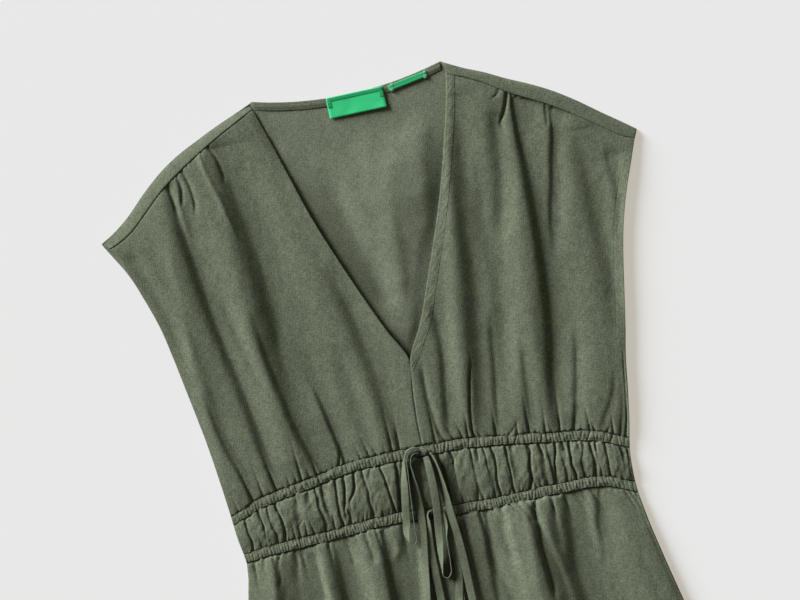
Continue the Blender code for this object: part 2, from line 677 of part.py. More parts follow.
def build_yokes():
    """The strips over the shoulders, with a column line for each of the front below."""
    for sign, side in ((1, "left"), (-1, "right")):
        def place(u, v):
            top_x = sign * between(SHOULDER_START, YOKE_TIP_TOP, u)
            seam_x = between(yoke_seam_start(sign), sign * YOKE_TIP_SEAM, u)
            x = between(seam_x, top_x, v)
            down = between(shoulder_line(seam_x, "seam"), shoulder_line(top_x, "top"), v)
            seam_height = bodice_height(seam_x, shoulder_line(seam_x, "seam"))
            return x, down, between(EDGE_TOP, seam_height, np.sin(np.pi / 2 * (1 - v)))
        cloth("shoulder_yoke_" + side, LINEN, np.linspace(0, 1, BODICE_COLUMNS + 1),
              np.linspace(0, 1, YOKE_ROWS + 1), place, FRONT_WALL)


def pucker_stations():
    """Places along a casing, two to a pucker, with the uneven spacing of hand gathers."""
    count = 2 * PUCKERS
    k = np.arange(count + 1)
    away = sum(wave.size * np.sin(wave.rate * k + wave.start) for wave in STRAYS)
    away[0] = away[-1] = 0
    return (k + away) / count


def build_casing_fronts():
    """The casings, with a column line in each pucker and one between each two."""
    stations = pucker_stations()
    for name, top, foot in (("casing_upper_front", upper_top, upper_foot),
                            ("casing_lower_front", lower_top, lower_foot)):
        shape = band_patch(shifted(top, SEAM_HALF), shifted(foot, -SEAM_HALF))

        def place(k, v):
            x, down = shape(stations[k], v)
            rise = grown(CASING_SIDE_RISE, side_distance(x, down))
            arch = arched(CASING_EDGE_SHARE, v)
            z = EDGE_TOP + (CASING_LOFT - EDGE_TOP) * arch * rise
            return x, down, z - PUCKER_DEPTH * (k % 2) * rise

        cloth(name, LINEN, np.arange(len(stations)), np.linspace(0, 1, CASING_ROWS + 1), place,
              FRONT_WALL)


def build_waist_front():
    """The inset between the casings: a column line on each crease and one between each two."""
    shape = band_patch(shifted(upper_foot, SEAM_HALF), shifted(lower_top, -SEAM_HALF))
    start = -float(body_half(WAIST_LEVEL, -1))
    width = float(body_half(WAIST_LEVEL, 1)) - start
    tops = [(crease.top_x - start) / width for crease in CREASES]
    feet = [(crease.foot_x - start) / width for crease in CREASES]
    shares = [crease.share for crease in CREASES]
    count = 2 * len(CREASES)
    stations = np.arange(count + 1) / count
    marks = (2 * np.arange(len(CREASES)) + 1) / count

    def place(s, v):
        top_u = np.interp(s, [0, *marks, 1], [0, *tops, 1])
        foot_u = np.interp(s, [0, *marks, 1], [0, *feet, 1])
        x, down = shape(between(foot_u, top_u, v), v)
        share = np.interp(s, marks, shares)
        crease = np.where(np.round(s * count) % 2 == 1, share, 0)
        rise = grown(WAIST_SIDE_RISE, side_distance(x, down))
        z = EDGE_TOP + (WAIST_LOFT - EDGE_TOP) * rise * arched(WAIST_EDGE_SHARE, v)
        return x, down, z - CREASE_DEPTH * crease * rise * arched(CREASE_EDGE_SHARE, v)

    cloth("waist_front", LINEN, stations, np.linspace(0, 1, WAIST_ROWS + 1), place, FRONT_WALL)


def skirt_patch():
    """A skirt panel, from the lower casing to the hem."""
    top = shifted(lower_foot, SEAM_HALF)
    ends = {sign: meet_side(sign, top) for sign in (-1, 1)}
    foot_down = float(hem_line(SIDE[-1].left))
    foot_half = float(body_half(foot_down, 1))
    return patch(side_edge(-1, foot_down, ends[-1][1]), side_edge(1, foot_down, ends[1][1]),
                 line_edge(-foot_half, foot_half, hem_line),
                 line_edge(ends[-1][0], ends[1][0], top))


def build_skirt_front():
    shape = skirt_patch()
    rows = np.linspace(0, 1, SKIRT_ROWS + 1) ** SKIRT_ROW_SPACING

    def place(u, v):
        x, down = shape(u, v)
        return x, down, skirt_height(x, down)

    cloth("skirt_front", LINEN, np.linspace(0, 1, SKIRT_COLUMNS + 1), rows, place, FRONT_WALL)


# ---------------------------------------------------------------- ties and labels

def tape_frame(route, steps):
    """Points along a tape's middle, with its sideways direction at each."""
    points = np.array([(run.x, -run.down, run.z) for run in route])
    lengths = np.concatenate(([0], np.cumsum(np.linalg.norm(np.diff(points, axis=0), axis=1))))
    at = np.linspace(0, lengths[-1], steps + 1)
    middle = np.stack([curve(at, lengths, points[:, axis]) for axis in range(3)], axis=1)
    tilt = np.radians(curve(at, lengths, [run.tilt for run in route]))
    heading = np.gradient(middle, at, axis=0)
    heading[:, 2] = 0
    heading /= np.linalg.norm(heading, axis=1)[:, None]
    across = np.stack([-heading[:, 1], heading[:, 0], np.zeros(len(at))], axis=1)
    sideways = across * np.cos(tilt)[:, None]
    sideways[:, 2] = np.sin(tilt)
    return at, middle, sideways


def build_tape(name, route):
    """A flat drawstring tape: a strip along its route, turned by its tilt."""
    returns = name.startswith("loop")
    steps = TAPE_STEPS * 2 if returns else TAPE_STEPS
    at, middle, sideways = tape_frame(route, steps)
    from_knot = np.minimum(at, at[-1] - at) if returns else at
    width = TAPE_WIDTH * (1 - (1 - KNOT_SQUEEZE) * np.exp(-from_knot / KNOT_SQUEEZE_REACH))

    def place(u, v):
        k = np.round(v * steps).astype(int)
        point = middle[k] + sideways[k] * (width[k] * (u - 0.5))[:, None]
        return point[:, 0], -point[:, 1], point[:, 2]

    cloth(name, LINEN, np.linspace(0, 1, 2), np.linspace(0, 1, steps + 1), place, TAPE_WALL, 0)


def squared(value):
    """A coordinate of the unit knot, moved outwards so that the knot is squarer."""
    half = 0.5
    return math.copysign(half * (abs(value) / half) ** KNOT_ROUNDNESS, value)


def build_knot(name, spot):
    """A knot, from a ball squared off a little."""
    bm = bmesh.new()
    bmesh.ops.create_uvsphere(bm, u_segments=KNOT_SEGMENTS, v_segments=KNOT_RINGS, radius=0.5)
    for vert in bm.verts:
        vert.co = Vector([squared(value) for value in vert.co])
    size = Matrix.Diagonal((*(value * MM for value in KNOT_SIZE), 1))
    bmesh.ops.transform(bm, matrix=size, verts=bm.verts)
    knot = add_mesh(name, bm, LINEN)
    knot.location = world(spot.x, spot.down, spot.z)


def build_label(name, label, colour):
    """A label, lying on the binding."""
    bm = bmesh.new()
    bmesh.ops.create_cube(bm, size=MM)
    size = Matrix.Diagonal((label.width, label.height, LABEL_WALL, 1))
    bmesh.ops.transform(bm, matrix=size, verts=bm.verts)
    piece = add_mesh(name, bm, colour)
    base = BACK_WALL + SEAM_GAP + TRIM_WALL + SEAM_GAP
    piece.location = world(label.x, label.down, base + LABEL_WALL / 2)
    piece.rotation_euler.z = math.radians(label.turn)


clear_scene()
dress = bpy.data.collections.new("a_line_dress")
bpy.context.scene.collection.children.link(dress)

build_back()
build_binding()
build_fronts()
build_yokes()
build_casing_fronts()
build_waist_front()
build_skirt_front()
for tape_name, tape_route in TAPES.items():
    build_tape(tape_name, tape_route)
for knot_name, knot_spot in KNOTS.items():
    build_knot(knot_name, knot_spot)
build_label("label_neck", LABELS["label_neck"], LABEL_GREEN)
build_label("label_fabric", LABELS["label_fabric"], TAG_GREEN)
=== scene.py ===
"""The finish of a sleeveless V-neck linen dress that lies flat on its back.

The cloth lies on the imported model's panels: +Y points to the neck, +X to the wearer's left and +Z
up. The tables are in millimetres: "down" is measured from the neck points towards the hem, "x" from
the centre line, and heights from the floor.
"""
import math
from collections import namedtuple
from functools import partial

import bpy
import numpy as np
from mathutils import Matrix, Vector


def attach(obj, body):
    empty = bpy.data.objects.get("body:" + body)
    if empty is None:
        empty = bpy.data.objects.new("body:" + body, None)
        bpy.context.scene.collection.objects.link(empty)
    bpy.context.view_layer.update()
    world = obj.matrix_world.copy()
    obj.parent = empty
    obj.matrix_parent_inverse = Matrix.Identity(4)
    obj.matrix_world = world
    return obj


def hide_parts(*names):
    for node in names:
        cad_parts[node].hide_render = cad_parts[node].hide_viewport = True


MM = 0.001


def table_of(kind, *rows):
    """A table with named columns, from one tuple of values for each row."""
    return [kind(*row) for row in rows]


# Overall sizes.
HEM_DOWN = 1008.3
HEM_RISE = 14.0
NECK_POINT_RISE = 1.7
NECK_HALF = 92.0
NECK_DIP = 10.5
ARMHOLE_TIP = 101.0
ARMHOLE_FOOT = 290.0
BODY_MIDDLE = (HEM_DOWN - NECK_POINT_RISE) / 2
NECK_PLACE = np.array((0, BODY_MIDDLE * MM, 0))     # where "down" is 0, in metres

# Cloth.
BACK_TOP = 1.0
CLOTH_WALL = 1.1
BACK_GAP = 0.3
SEAM_HALF = 0.15
EDGE_TOP = 2.6
BODICE_LOFT = 9.8
SKIRT_LOFT = 9.8
WAIST_LOFT = 8.2
CASING_LOFT = 6.1
LOWEST_TOP = 3.4
TUCKED_TOP = 2.7
YIELD = 0.5                # how softly a fold comes to rest on the cloth under it
EDGE_ROUND = 0.35          # a cut edge bulges by this share of its wall
EDGE_ROUND_WALL = 1.4      # the thickest wall that counts for it
RIM = ((0.15, 0.7), (0.5, 1.0), (0.85, 0.7))   # its rings: share of the wall, and of the bulge
SEAM_TURN = 1.2            # how far in a side seam turns down to the back
SEAM_FLOOR = 1.4
SEAM_LINE_DEPTH = 0.8      # the line that shows beside the wearer's left side seam
SEAM_LINE_PLACE = 2.2
SEAM_LINE_HALF = 0.8
SEAM_LINE_TOP = 300.0
SEAM_LINE_FOOT = 560.0
ARMHOLE_INSET = 5.0        # the wearer's right front lies this far inside the back at its tip
ARMHOLE_INSET_DOWN = 113.0
ARMHOLE_INSET_REACH = 11.0
ARMHOLE_HEM = 9.5
ARMHOLE_HEM_SHOWS = {1: 1.1, -1: 0.6}
SKIRT_HEM = 24.0
HEM_STEP = 0.28            # how much a turned hem thickens the cloth, and over what distance
HEM_STEP_REACH = 0.7
HEM_STITCH = 1.2           # its stitch line, from its inner edge: place, depth and half width
HEM_STITCH_DEPTH = 0.30
HEM_STITCH_HALF = 0.9

# Trims.
CASING_WIDTH = 8.2
CASING_STITCHES = (0.13, 0.87)     # stitch lines, as shares of its width
BINDING_WIDTH = 7.5
BINDING_DROP = 0.4                 # how far below the edge of the back neck it starts
BINDING_STITCHES = (0.2, 0.8)
BINDING_END = NECK_HALF - 1.0
BAND_TOP = {1: 5.5, -1: 6.0}
BAND_FOOT = {1: 281.0, -1: 272.0}
BAND_WIDTHS = {                    # by its "down"
    1: ((5, 40, 120, 200, 250, 268, 281), (7.6, 7.8, 8.2, 8.8, 9.6, 8.5, 2)),
    -1: ((5, 40, 150, 240, 262, 272), (9, 10, 11, 10.5, 8, 2)),
}
BAND_LIFT = {1: 0.20, -1: 0.12}    # how far each neck band stands over its front
BAND_PULL = {1: 1.0, -1: 0.45}     # how strongly its stitches pucker it
BAND_EDGE_STITCH = 1.7             # its stitch lines, from the V edge and from its far edge
BAND_SEAM_STITCH = 1.3
YOKE_LIFT = 0.45                   # how far a yoke's seam edge stands over the panel
YOKE_SLOPE = {1: -0.9, -1: -3.2}   # how far it rises from its seam to its fold
TAPE_WIDTH = 7.3
TAPE_WALL = 0.9
TAPE_STITCH = 0.76                 # its stitch line, as a share of its half width
LABEL_WALL = 0.9
LABEL_BASE = BACK_TOP + BACK_GAP + 1.2
LABEL_LIFT = 0.1                   # how far even a flat label's top stands over that
LABEL_RIM = 0.7
LABEL_STRIP_WALL = (-0.05, 0.30)
LABEL_CURL = 1.6
TAG_CURL = 0.5

# Half of the cross section of a tape, as shares of its half width and half wall.
TAPE_SECTION = ((-1.0, 0.0), (-0.97, 0.7), (-0.88, 1.0), (-0.76, 0.75), (-0.64, 1.0), (0.0, 0.95),
                (0.64, 1.0), (0.88, 1.0), (0.97, 0.7), (1.0, 0.0))

# How many faces a piece has across and along.
GRIDS = {
    "bodice_front": (236, 152),
    "bodice_back": (140, 100),
    "yoke": (160, 14),
    "binding": (170, 12),
    "casing_front": (760, 14),
    "waist_front": (640, 48),
    "skirt_front": (280, 138),
    "skirt_back": (40, 30),
    "casing_back": (170, 2),
    "waist_back": (170, 6),
    "neck_band": (15, 299),
    "label": (30, 18),
    "label_strip": (24, 4),
}
TAPE_STEPS = {"loop": 190, "tail": 120}
KNOT_STEPS = 40

# Stitches, in millimetres.
Stitch = namedtuple("Stitch", "pitch length width")
STITCHES = {
    "binding": Stitch(2.8, 1.9, 0.40),
    "neck": Stitch(3.0, 2.0, 0.42),
    "casing": Stitch(2.9, 1.9, 0.42),
    "hem": Stitch(3.2, 2.2, 0.45),
    "tape": Stitch(2.3, 1.5, 0.34),
    "tag": Stitch(5.0, 4.4, 0.34),
}

# The linen's threads: their width and how far they stay alike, its grain and its mottle, in metres.
YARN = 0.0009
YARN_RUN = 0.0055
GRAIN = 0.0012
MOTTLE = (0.010, 0.014)
MOTTLE_SHARE = 0.45
WOVEN_MIDDLE = 1.725       # the middle of the sum of its noises

# Colours, as linear red, green and blue.
LINEN = (0.109, 0.125, 0.085)
LINEN_INSIDE = (0.138, 0.156, 0.110)
TAPE_LINEN = (0.108, 0.124, 0.084)
THREAD = (0.125, 0.143, 0.100)
LABEL_GREEN = (0.020, 0.47, 0.17)
LABEL_DARK = (0.008, 0.26, 0.095)
TAG_GREEN = (0.010, 0.31, 0.115)
TAG_THREAD = (0.35, 0.70, 0.45)

# The outline below the shoulder tips: half widths on the wearer's right (-X) and left (+X).
Side = namedtuple("Side", "down right left")
SIDE = table_of(Side,
    (101, 259.5, 261), (115, 251.5, 254.5), (130, 243, 248.5), (160, 231, 237), (190, 221.5, 228),
    (220, 215.5, 221.5), (250, 210.5, 216), (280, 205.5, 210.5), (310, 201, 204.5),
    (340, 197.5, 200), (370, 194.5, 195), (400, 192, 189.5), (430, 188.5, 188.5), (460, 194, 192),
    (500, 202, 199.5), (547, 212, 209.5), (700, 243.5, 242.5), (995, 305.5, 305.5))

# The shoulder line and the seam under the yoke, as "down" against x on each side.
Shoulder = namedtuple("Shoulder", "x top_right top_left seam_right seam_left")
SHOULDER = table_of(Shoulder,
    (94, 0, 0, 6, 11), (110, 6.5, 8.5, 14, 17.5), (130, 14.5, 17.5, 24, 28.5),
    (150, 23.5, 28, 35, 41.5), (170, 33, 37.5, 47, 52.5), (190, 45.5, 48.5, 60.5, 64),
    (210, 62, 62, 78, 78), (230, 81, 77.5, 95.5, 92.5), (246, 93, 89.5, 104, 104),
    (261, 101.5, 101, 109, 110.5))
SHOULDER_START = 94.2
YOKE_TIP_TOP = {1: 260.6, -1: 259.3}
YOKE_TIP_SEAM = {1: 256.6, -1: 252.6}
TIP_TURN = {1: 60, -1: 12}

# The inner edge of each front: the V neckline, then the centre front seam below its foot.
Front = namedtuple("Front", "down right left")
FRONT_EDGE = table_of(Front,
    (5, -93, 96.5), (40, -82.5, 89), (80, -71, 78), (120, -59, 65.9), (160, -44.4, 51.8),
    (200, -28.6, 36.4), (240, -11.5, 20.2), (268, 2.2, 5.2), (274, 3.1, 3.4), (300, 0, 0.3),
    (330, -2, -1.7), (352, -2.2, -1.9))
V_FOOT = 270.0
V_CLOSING = 14.0
FRONT_FOOT = FRONT_EDGE[-1].down

# Middle lines of the two casings, as "down" against x.
Casing = namedtuple("Casing", "x upper lower")
CASINGS = table_of(Casing,
    (-193, 384, 422.5), (-160, 372.5, 418.8), (-120, 366, 418), (-80, 359, 416),
    (-40, 356.5, 414.2), (0, 357, 417), (40, 358.5, 419.3), (80, 364.2, 419.5), (120, 370.5, 419.5),
    (160, 377.4, 421.5), (193, 391.5, 435))
WAIST_LEVEL = 376.0

# How the front rises from each edge: the share of its loft at the edge, and how far in it grows.
Rise = namedtuple("Rise", "share reach")
SIDE_RISE = {1: Rise(0.72, 14.0), -1: Rise(0.38, 16.0)}
YOKE_SEAM_RISE = Rise(0.45, 30.0)
V_EDGE_REACH = {1: 9.0, -1: 12.0}
BODICE_FOOT_RISE = Rise(0.55, 16.0)
SKIRT_TOP_RISE = Rise(0.50, 20.0)
HEM_RISE_IN = Rise(0.6, 25.0)
V_EDGE_LEAD = 2.0

# The share of its loft that each V edge stands at, from the neck point down.
VEdge = namedtuple("VEdge", "down right left")
V_EDGES = table_of(VEdge,
    (0, 0.05, 0.45), (40, 0.15, 0.55), (65, 0.6, 0.65), (95, 1.1, 0.72), (150, 1.32, 0.78),
    (220, 1.28, 0.8), (262, 1.1, 0.9), (285, 1, 1))
NECK_PUFF = 1.2            # how far the back rises beside the wearer's right neck edge
NECK_PUFF_FOOT = 62.0
BACK_ROLL = 2.0            # how far the back rolls up beside the wearer's left V edge
BACK_ROLL_WIDTH = 5.5
BACK_ROLLS = ((60, 90, 115, 150, 180, 210, 240, 262), (0, 0.6, 1, 1, 0.35, 0.3, 1.1, 0.8))
RIGHT_ROLL = 4.2           # the same beside the right V edge, where it falls away inwards
RIGHT_ROLL_WIDTH = 13.0
RIGHT_ROLL_UNDER = 5.0     # its width on the side that the front covers
RIGHT_ROLLS = ((40, 75, 110, 200, 235, 255), (0, 0.6, 1, 1, 0.6, 0))
FOLD_SIDE_REACH = 10.0
FOLDS_AT_CASING = Rise(0.45, 9.0)
SKIRT_FOLDS_AT_CASING = Rise(0.8, 9.0)
FOLD_GROWTH = 4.0
FOLD_FADE = 6.0
SHARP_FADE = 1.3           # how fast a sharp valley rises from its middle line

# Folds of the fronts, each along a path of (down, x) points, with its soft half widths towards -X
# and +X, the share of its depth at its head and foot, and how sharp its valley is from 0 to 1.
# A ridge has a depth below 0.
Fold = namedtuple("Fold", "depth minus plus head foot sharp path")
BODICE_FOLDS = table_of(Fold,
    # Wearer's right front.
    (6, 11, 24, 0.5, 0, 0, ((34, -130.2), (60, -126.2), (91, -121.5), (137, -115.1), (190, -111.1),
     (230, -107.5), (265, -104.5), (304, -101.5))),
    (4.5, 6, 19.5, 0.3, 0.5, 0.2, ((58, -185.7), (91, -182.4), (137, -176.4), (190, -169.9),
     (237, -161.7), (270, -155.8), (317, -149.1), (364, -142))),
    (1.8, 5, 6, 0, 0, 0, ((160, -163), (200, -154), (230, -147), (255, -141), (285, -134))),
    (1.7, 6.3, 9.8, 0.2, 0.6, 0, ((150, -200.1), (204, -191.4), (257, -185.2), (304, -181.2),
     (350, -164.7))),
    (3.7, 2.4, 17, 0, 0.9, 0.3, ((236, -96.4), (262, -93), (280, -89), (300, -85.2), (320, -81.7),
     (340, -78.4), (358, -76.2))),
    (2.8, 11.3, 9.1, 0, 0.9, 0, ((240, -62.8), (290, -54.1), (352, -49.1))),
    (4.1, 9, 19.7, 0.2, 0.8, 0, ((170, -51.5), (224, -37.2), (270, -29.5), (324, -23.8),
     (352, -20.3))),
    (-1.1, 3.6, 14.6, 0.9, 0.3, 0.4, ((38, -152.1), (60, -145.5), (85, -142.1), (115, -137.9))),
    (2.3, 3.2, 16, 0, 0.9, 0.1, ((258, -192.4), (290, -188.8), (308, -185.4), (325, -180.8),
     (340, -176), (355, -171), (372, -167.8))),
    (-3, 13.2, 14.3, 0, 0.5, 0, ((60, -151.5), (150, -138.4), (260, -135.9), (340, -124.6))),
    (-3, 8, 16.4, 0, 0.3, 0, ((60, -201.8), (150, -194.8), (260, -197), (340, -191.9))),
    (0.7, 15.2, 12.2, 0.1, 0.2, 0, ((60, -100.6), (150, -83.5), (260, -72.5), (340, -58.7))),
    (1.1, 12.6, 11.6, 0.3, 0.3, 0, ((60, -112.3), (150, -93.7), (240, -75.3))),
    (2.3, 9.2, 7.1, 0.9, 0.1, 0, ((120, -232.3), (180, -214.4), (240, -204))),
    (1.9, 1.3, 2.2, 0.9, 0.2, 0.4, ((33, -142), (38, -138.6), (44, -135.8), (52, -134),
     (60, -132.8), (68, -133))),
    (1.6, 1.3, 2.2, 0.5, 0, 0.3, ((56, -176), (61, -174.6), (68, -174.5), (76, -176), (84, -177))),
    (1.7, 1.3, 3, 0.8, 0, 0.3, ((50, -170.8), (56, -168.2), (63, -166.3), (72, -165.2),
     (80, -164.6), (87, -165.3), (94, -167))),
    (2.2, 1.3, 2.2, 0.8, 0.8, 0.4, ((60, -187), (66, -186), (75, -184.6), (84, -183.6))),
    (-1.2, 2.5, 3.5, 0.6, 0.1, 0.2, ((58, -178), (70, -178.6), (90, -178.4), (115, -176.2))),
    (-1.2, 2.5, 3, 0.6, 0.1, 0.2, ((38, -150), (50, -149.4), (64, -146.8), (82, -140.6),
     (100, -137), (122, -132.4))),
    (3.5, 4.2, 24, 0, 0.9, 0.1, ((190, -133), (225, -129), (262, -123.4), (280, -120),
     (300, -116.4), (320, -112), (335, -107.2), (350, -101.2), (362, -96.4))),
    (2.2, 22, 36, 0, 0.3, 0, ((215, -105), (250, -98), (280, -90), (310, -84), (345, -78))),
    # Wearer's left front.
    (3.8, 10.5, 14.5, 0.3, 0.6, 0, ((34, 103.2), (90, 92.7), (150, 83.9), (204, 81.2), (257, 73.8),
     (290, 68.6), (345, 60.6), (362, 59.5))),
    (3.3, 10.2, 16.2, 0, 0.2, 0, ((90, 113.6), (150, 102.3), (204, 103.6), (257, 98.5),
     (320, 89.1))),
    (5.6, 6, 22.1, 0.7, 0.35, 0.1, ((45, 157.4), (90, 153.1), (124, 152.1), (177, 150.2),
     (230, 146.8), (270, 142.2), (304, 136), (335, 131.6), (362, 129))),
    (4.3, 4.2, 12.1, 0.9, 0, 0.1, ((64, 187.1), (84, 185.2), (110, 178.9), (137, 173.2),
     (164, 166.8), (204, 161))),
    (5.5, 12.9, 27.2, 0.4, 0, 0, ((90, 205.4), (137, 211.1), (190, 212), (230, 213), (265, 212),
     (300, 209))),
    (4.4, 5.5, 14.9, 0.9, 0, 0, ((120, 232.3), (160, 232.7), (204, 222.2))),
    (3.6, 8.1, 12.4, 0.6, 0.1, 0, ((60, 132.6), (124, 126.2), (177, 114.9))),
    (4.2, 0.7, 1.4, 0.2, 0.9, 0.7, ((284, 59.6), (293, 56.8), (300, 54.9), (310, 52.8), (320, 50.7),
     (330, 49), (340, 47.9), (358, 47.4))),
    (2.8, 4.2, 20, 0, 0.9, 0.1, ((236, 90), (260, 86.2), (290, 82.6), (310, 79.6), (330, 76.4),
     (358, 72))),
    (2.2, 4.5, 9, 0, 0.8, 0, ((262, 112), (290, 110.8), (320, 107.6), (345, 105), (364, 103))),
    (2, 3.6, 9, 0, 0.9, 0.1, ((270, 163.4), (290, 161.6), (312, 157.4), (330, 153.2), (345, 150.2),
     (366, 145.3))),
    (2.8, 4.5, 13.1, 0.4, 0.6, 0.2, ((225, 36.3), (270, 36), (300, 31.9), (345, 25.7))),
    (1.2, 3, 8, 0, 0.9, 0.1, ((316, 192.6), (333, 189), (342, 185.6), (351, 180.8), (360, 174.9),
     (370, 169.6))),
    (2.4, 3.5, 5.6, 0.2, 0.7, 0.2, ((330, 197.5), (360, 192.5), (382, 186.3))),
    (2.1, 2.6, 9.9, 0.9, 0.1, 0.7, ((50, 161.8), (76, 163.1))),
    (2.3, 3.5, 3.5, 0.5, 0.6, 0.5, ((281, 13.2), (310, 12.7), (352, 17.3))),
    (1.5, 18.5, 22.2, 0, 0, 0, ((60, 174.7), (150, 191.4), (260, 167.4), (340, 169.1))),
    (-3, 8.8, 13.2, 0.3, 0.2, 0, ((60, 86.1), (150, 71.9), (260, 53.9), (340, 44.8))),
    (-3, 15, 16.8, 0, 0.1, 0, ((60, 130.6), (150, 137.3), (260, 119.3), (340, 104.8))),
    (1.2, 1.6, 2.6, 0.6, 0, 0.3, ((37, 141), (41, 137), (45, 131))),
    (3.4, 1.4, 2.2, 0.9, 0.5, 0.4, ((41, 147.6), (46, 145.6), (52, 143.4), (58, 140.8), (63, 138),
     (67, 135.6))),
    (2, 1.6, 3, 0.8, 0.3, 0.3, ((48, 151.4), (56, 150.2), (66, 149.8), (78, 149), (92, 149),
     (105, 149.5))),
    (2.4, 1.3, 1.8, 0.9, 0.3, 0.4, ((45, 157.6), (48, 154), (51, 150.5))),
    (1.2, 1.6, 3, 0.8, 0.1, 0.3, ((52, 164.6), (60, 163.2), (72, 161.4))),
    (1.3, 1.4, 3, 0.9, 0, 0.4, ((60, 181), (66, 179.8), (74, 179), (82, 178.2))),
    (2.4, 1.4, 3, 0.9, 0.3, 0.4, ((64, 187.6), (71, 185.8), (78, 184.4), (86, 183), (96, 181.4),
     (110, 179.6))))

# Folds of the back that show in the neckline.
BACK_FOLDS = table_of(Fold,
    (-3.8, 15.5, 28, 0.4, 0.3, 0, ((60, 37.9), (120, 20.9), (170, 13.8), (225, 9.6))),
    (1.1, 5, 13.2, 0.3, 0.3, 0, ((80, 63.6), (130, 56.9), (180, 36.9), (250, 13.1))),
    (1.2, 5, 11.3, 0, 0, 0, ((120, 22.5), (160, 23.6), (225, 15.2))),
    (-1.2, 13.9, 17.5, 0, 0.1, 0, ((60, -9.3), (120, -11.9), (200, -14.5))),
    (2.6, 10.6, 12.5, 0, 0.8, 0, ((70, -39.7), (130, -25.4), (210, -5.4))),
    (-2.4, 16.1, 9.9, 0, 0.4, 0, ((40, 62), (90, 56.3), (130, 46.8))),
    (-1.7, 11, 14.5, 0.3, 0.2, 0, ((50, 10.2), (90, 8.3), (130, 4.1))))

# Skirt folds: x at the casing and at "down" 500, below which they follow the flare.
SkirtFold = namedtuple("SkirtFold", "seam_x low_x depth minus plus")
SKIRT_FOLD_LEVEL = 500.0
SKIRT_FOLDS = table_of(SkirtFold,
    (-163.4, -173.6, -3, 6.8, 6), (-136.4, -147.9, 4.3, 16.2, 25.2), (-97.9, -98.4, 6.5, 8.8, 22.1),
    (-54, -55.3, 5.7, 5.1, 20.3), (-27.3, -41, 6.4, 9.6, 9.1), (43.4, 39, 2.1, 3.5, 12.4),
    (64.8, 67.6, -3, 5.4, 26), (85, 101, 1.9, 7.7, 3.7), (129.8, 121.5, 6.5, 13.5, 16.4),
    (85.1, 79.3, -3, 7.5, 24.1), (158.4, 146.4, 4.1, 8.2, 19.8), (176.2, 182.8, 0.3, 4.3, 8.8),
    (-189.9, -195.6, 1, 6, 7.2), (72.9, 75, -3, 16.8, 26), (-76.6, -72.9, -2.8, 7.9, 19.5),
    (130.9, 133.5, 2.9, 10, 7.8), (-120.3, -116.5, -3, 3.5, 12), (200.3, 205.8, 1.5, 10.5, 8))
HEM_FOLD_SHARE = 0.6
SKIRT_FOLD_GAIN = 1.15

# Shorter creases at the top of the skirt.
SKIRT_CREASES = table_of(Fold,
    (6.5, 1.9, 6.1, 0.9, 0.7, 1, ((421, 91.2), (435, 88.7), (450, 89.6), (465, 87.5), (480, 88.2),
     (495, 89.4), (512, 90.4))),
    (-0.5, 5.9, 9.3, 0.2, 0.1, 0, ((425, 120.7), (440, 123.7), (455, 129.1), (475, 129.5))),
    (3.5, 1.8, 6.7, 0.7, 0.3, 0.8, ((424, 66.7), (435, 81.2), (446, 85))),
    (2.2, 3.5, 9.2, 0.8, 0, 0.6, ((424, 151.2), (440, 151.4), (460, 147), (480, 147.9))),
    (2.9, 3.5, 9.6, 0.8, 0, 0.4, ((425, 40.7), (445, 42), (470, 40.5), (492, 43.6))),
    (1.3, 3.5, 5.4, 0.1, 0.1, 0.2, ((478, 43.1), (510, 50.8), (540, 56))),
    (1.6, 6.8, 5, 0.1, 0.1, 0.2, ((437, 179.3), (455, 184.3), (472, 192.1))),
    (1.7, 4, 1.8, 0.9, 0.2, 0.7, ((424, -91.9), (440, -90.8), (456, -91))),
    (2.1, 4.6, 1.8, 0.9, 0, 0.7, ((424, -137.6), (440, -142.4), (458, -143))),
    (1.9, 1.8, 1.8, 0.9, 0, 0.7, ((426, -160.5), (445, -159.9), (458, -163.5))),
    (2.5, 3.5, 5.3, 0.9, 0.2, 0.6, ((424, -74), (440, -69.4), (452, -70.3))),
    (-1.9, 3.9, 8.8, 0.9, 0, 0.6, ((424, -49), (440, -44.8), (456, -51.2))),
    (1.6, 5.3, 4.9, 0.1, 0.2, 0.2, ((430, 109.2), (450, 105.8), (480, 106))),
    (-0.4, 4.9, 6, 0.2, 0.2, 0.2, ((430, 165.1), (450, 168.1), (480, 174))),
    (5.3, 10.6, 3.5, 0.4, 0.5, 0.2, ((430, -122.5), (450, -123.9), (480, -121.8))),
    (3.4, 6.6, 3.5, 0.2, 0.2, 0.2, ((430, 59.2), (450, 57.4), (480, 61.7))))

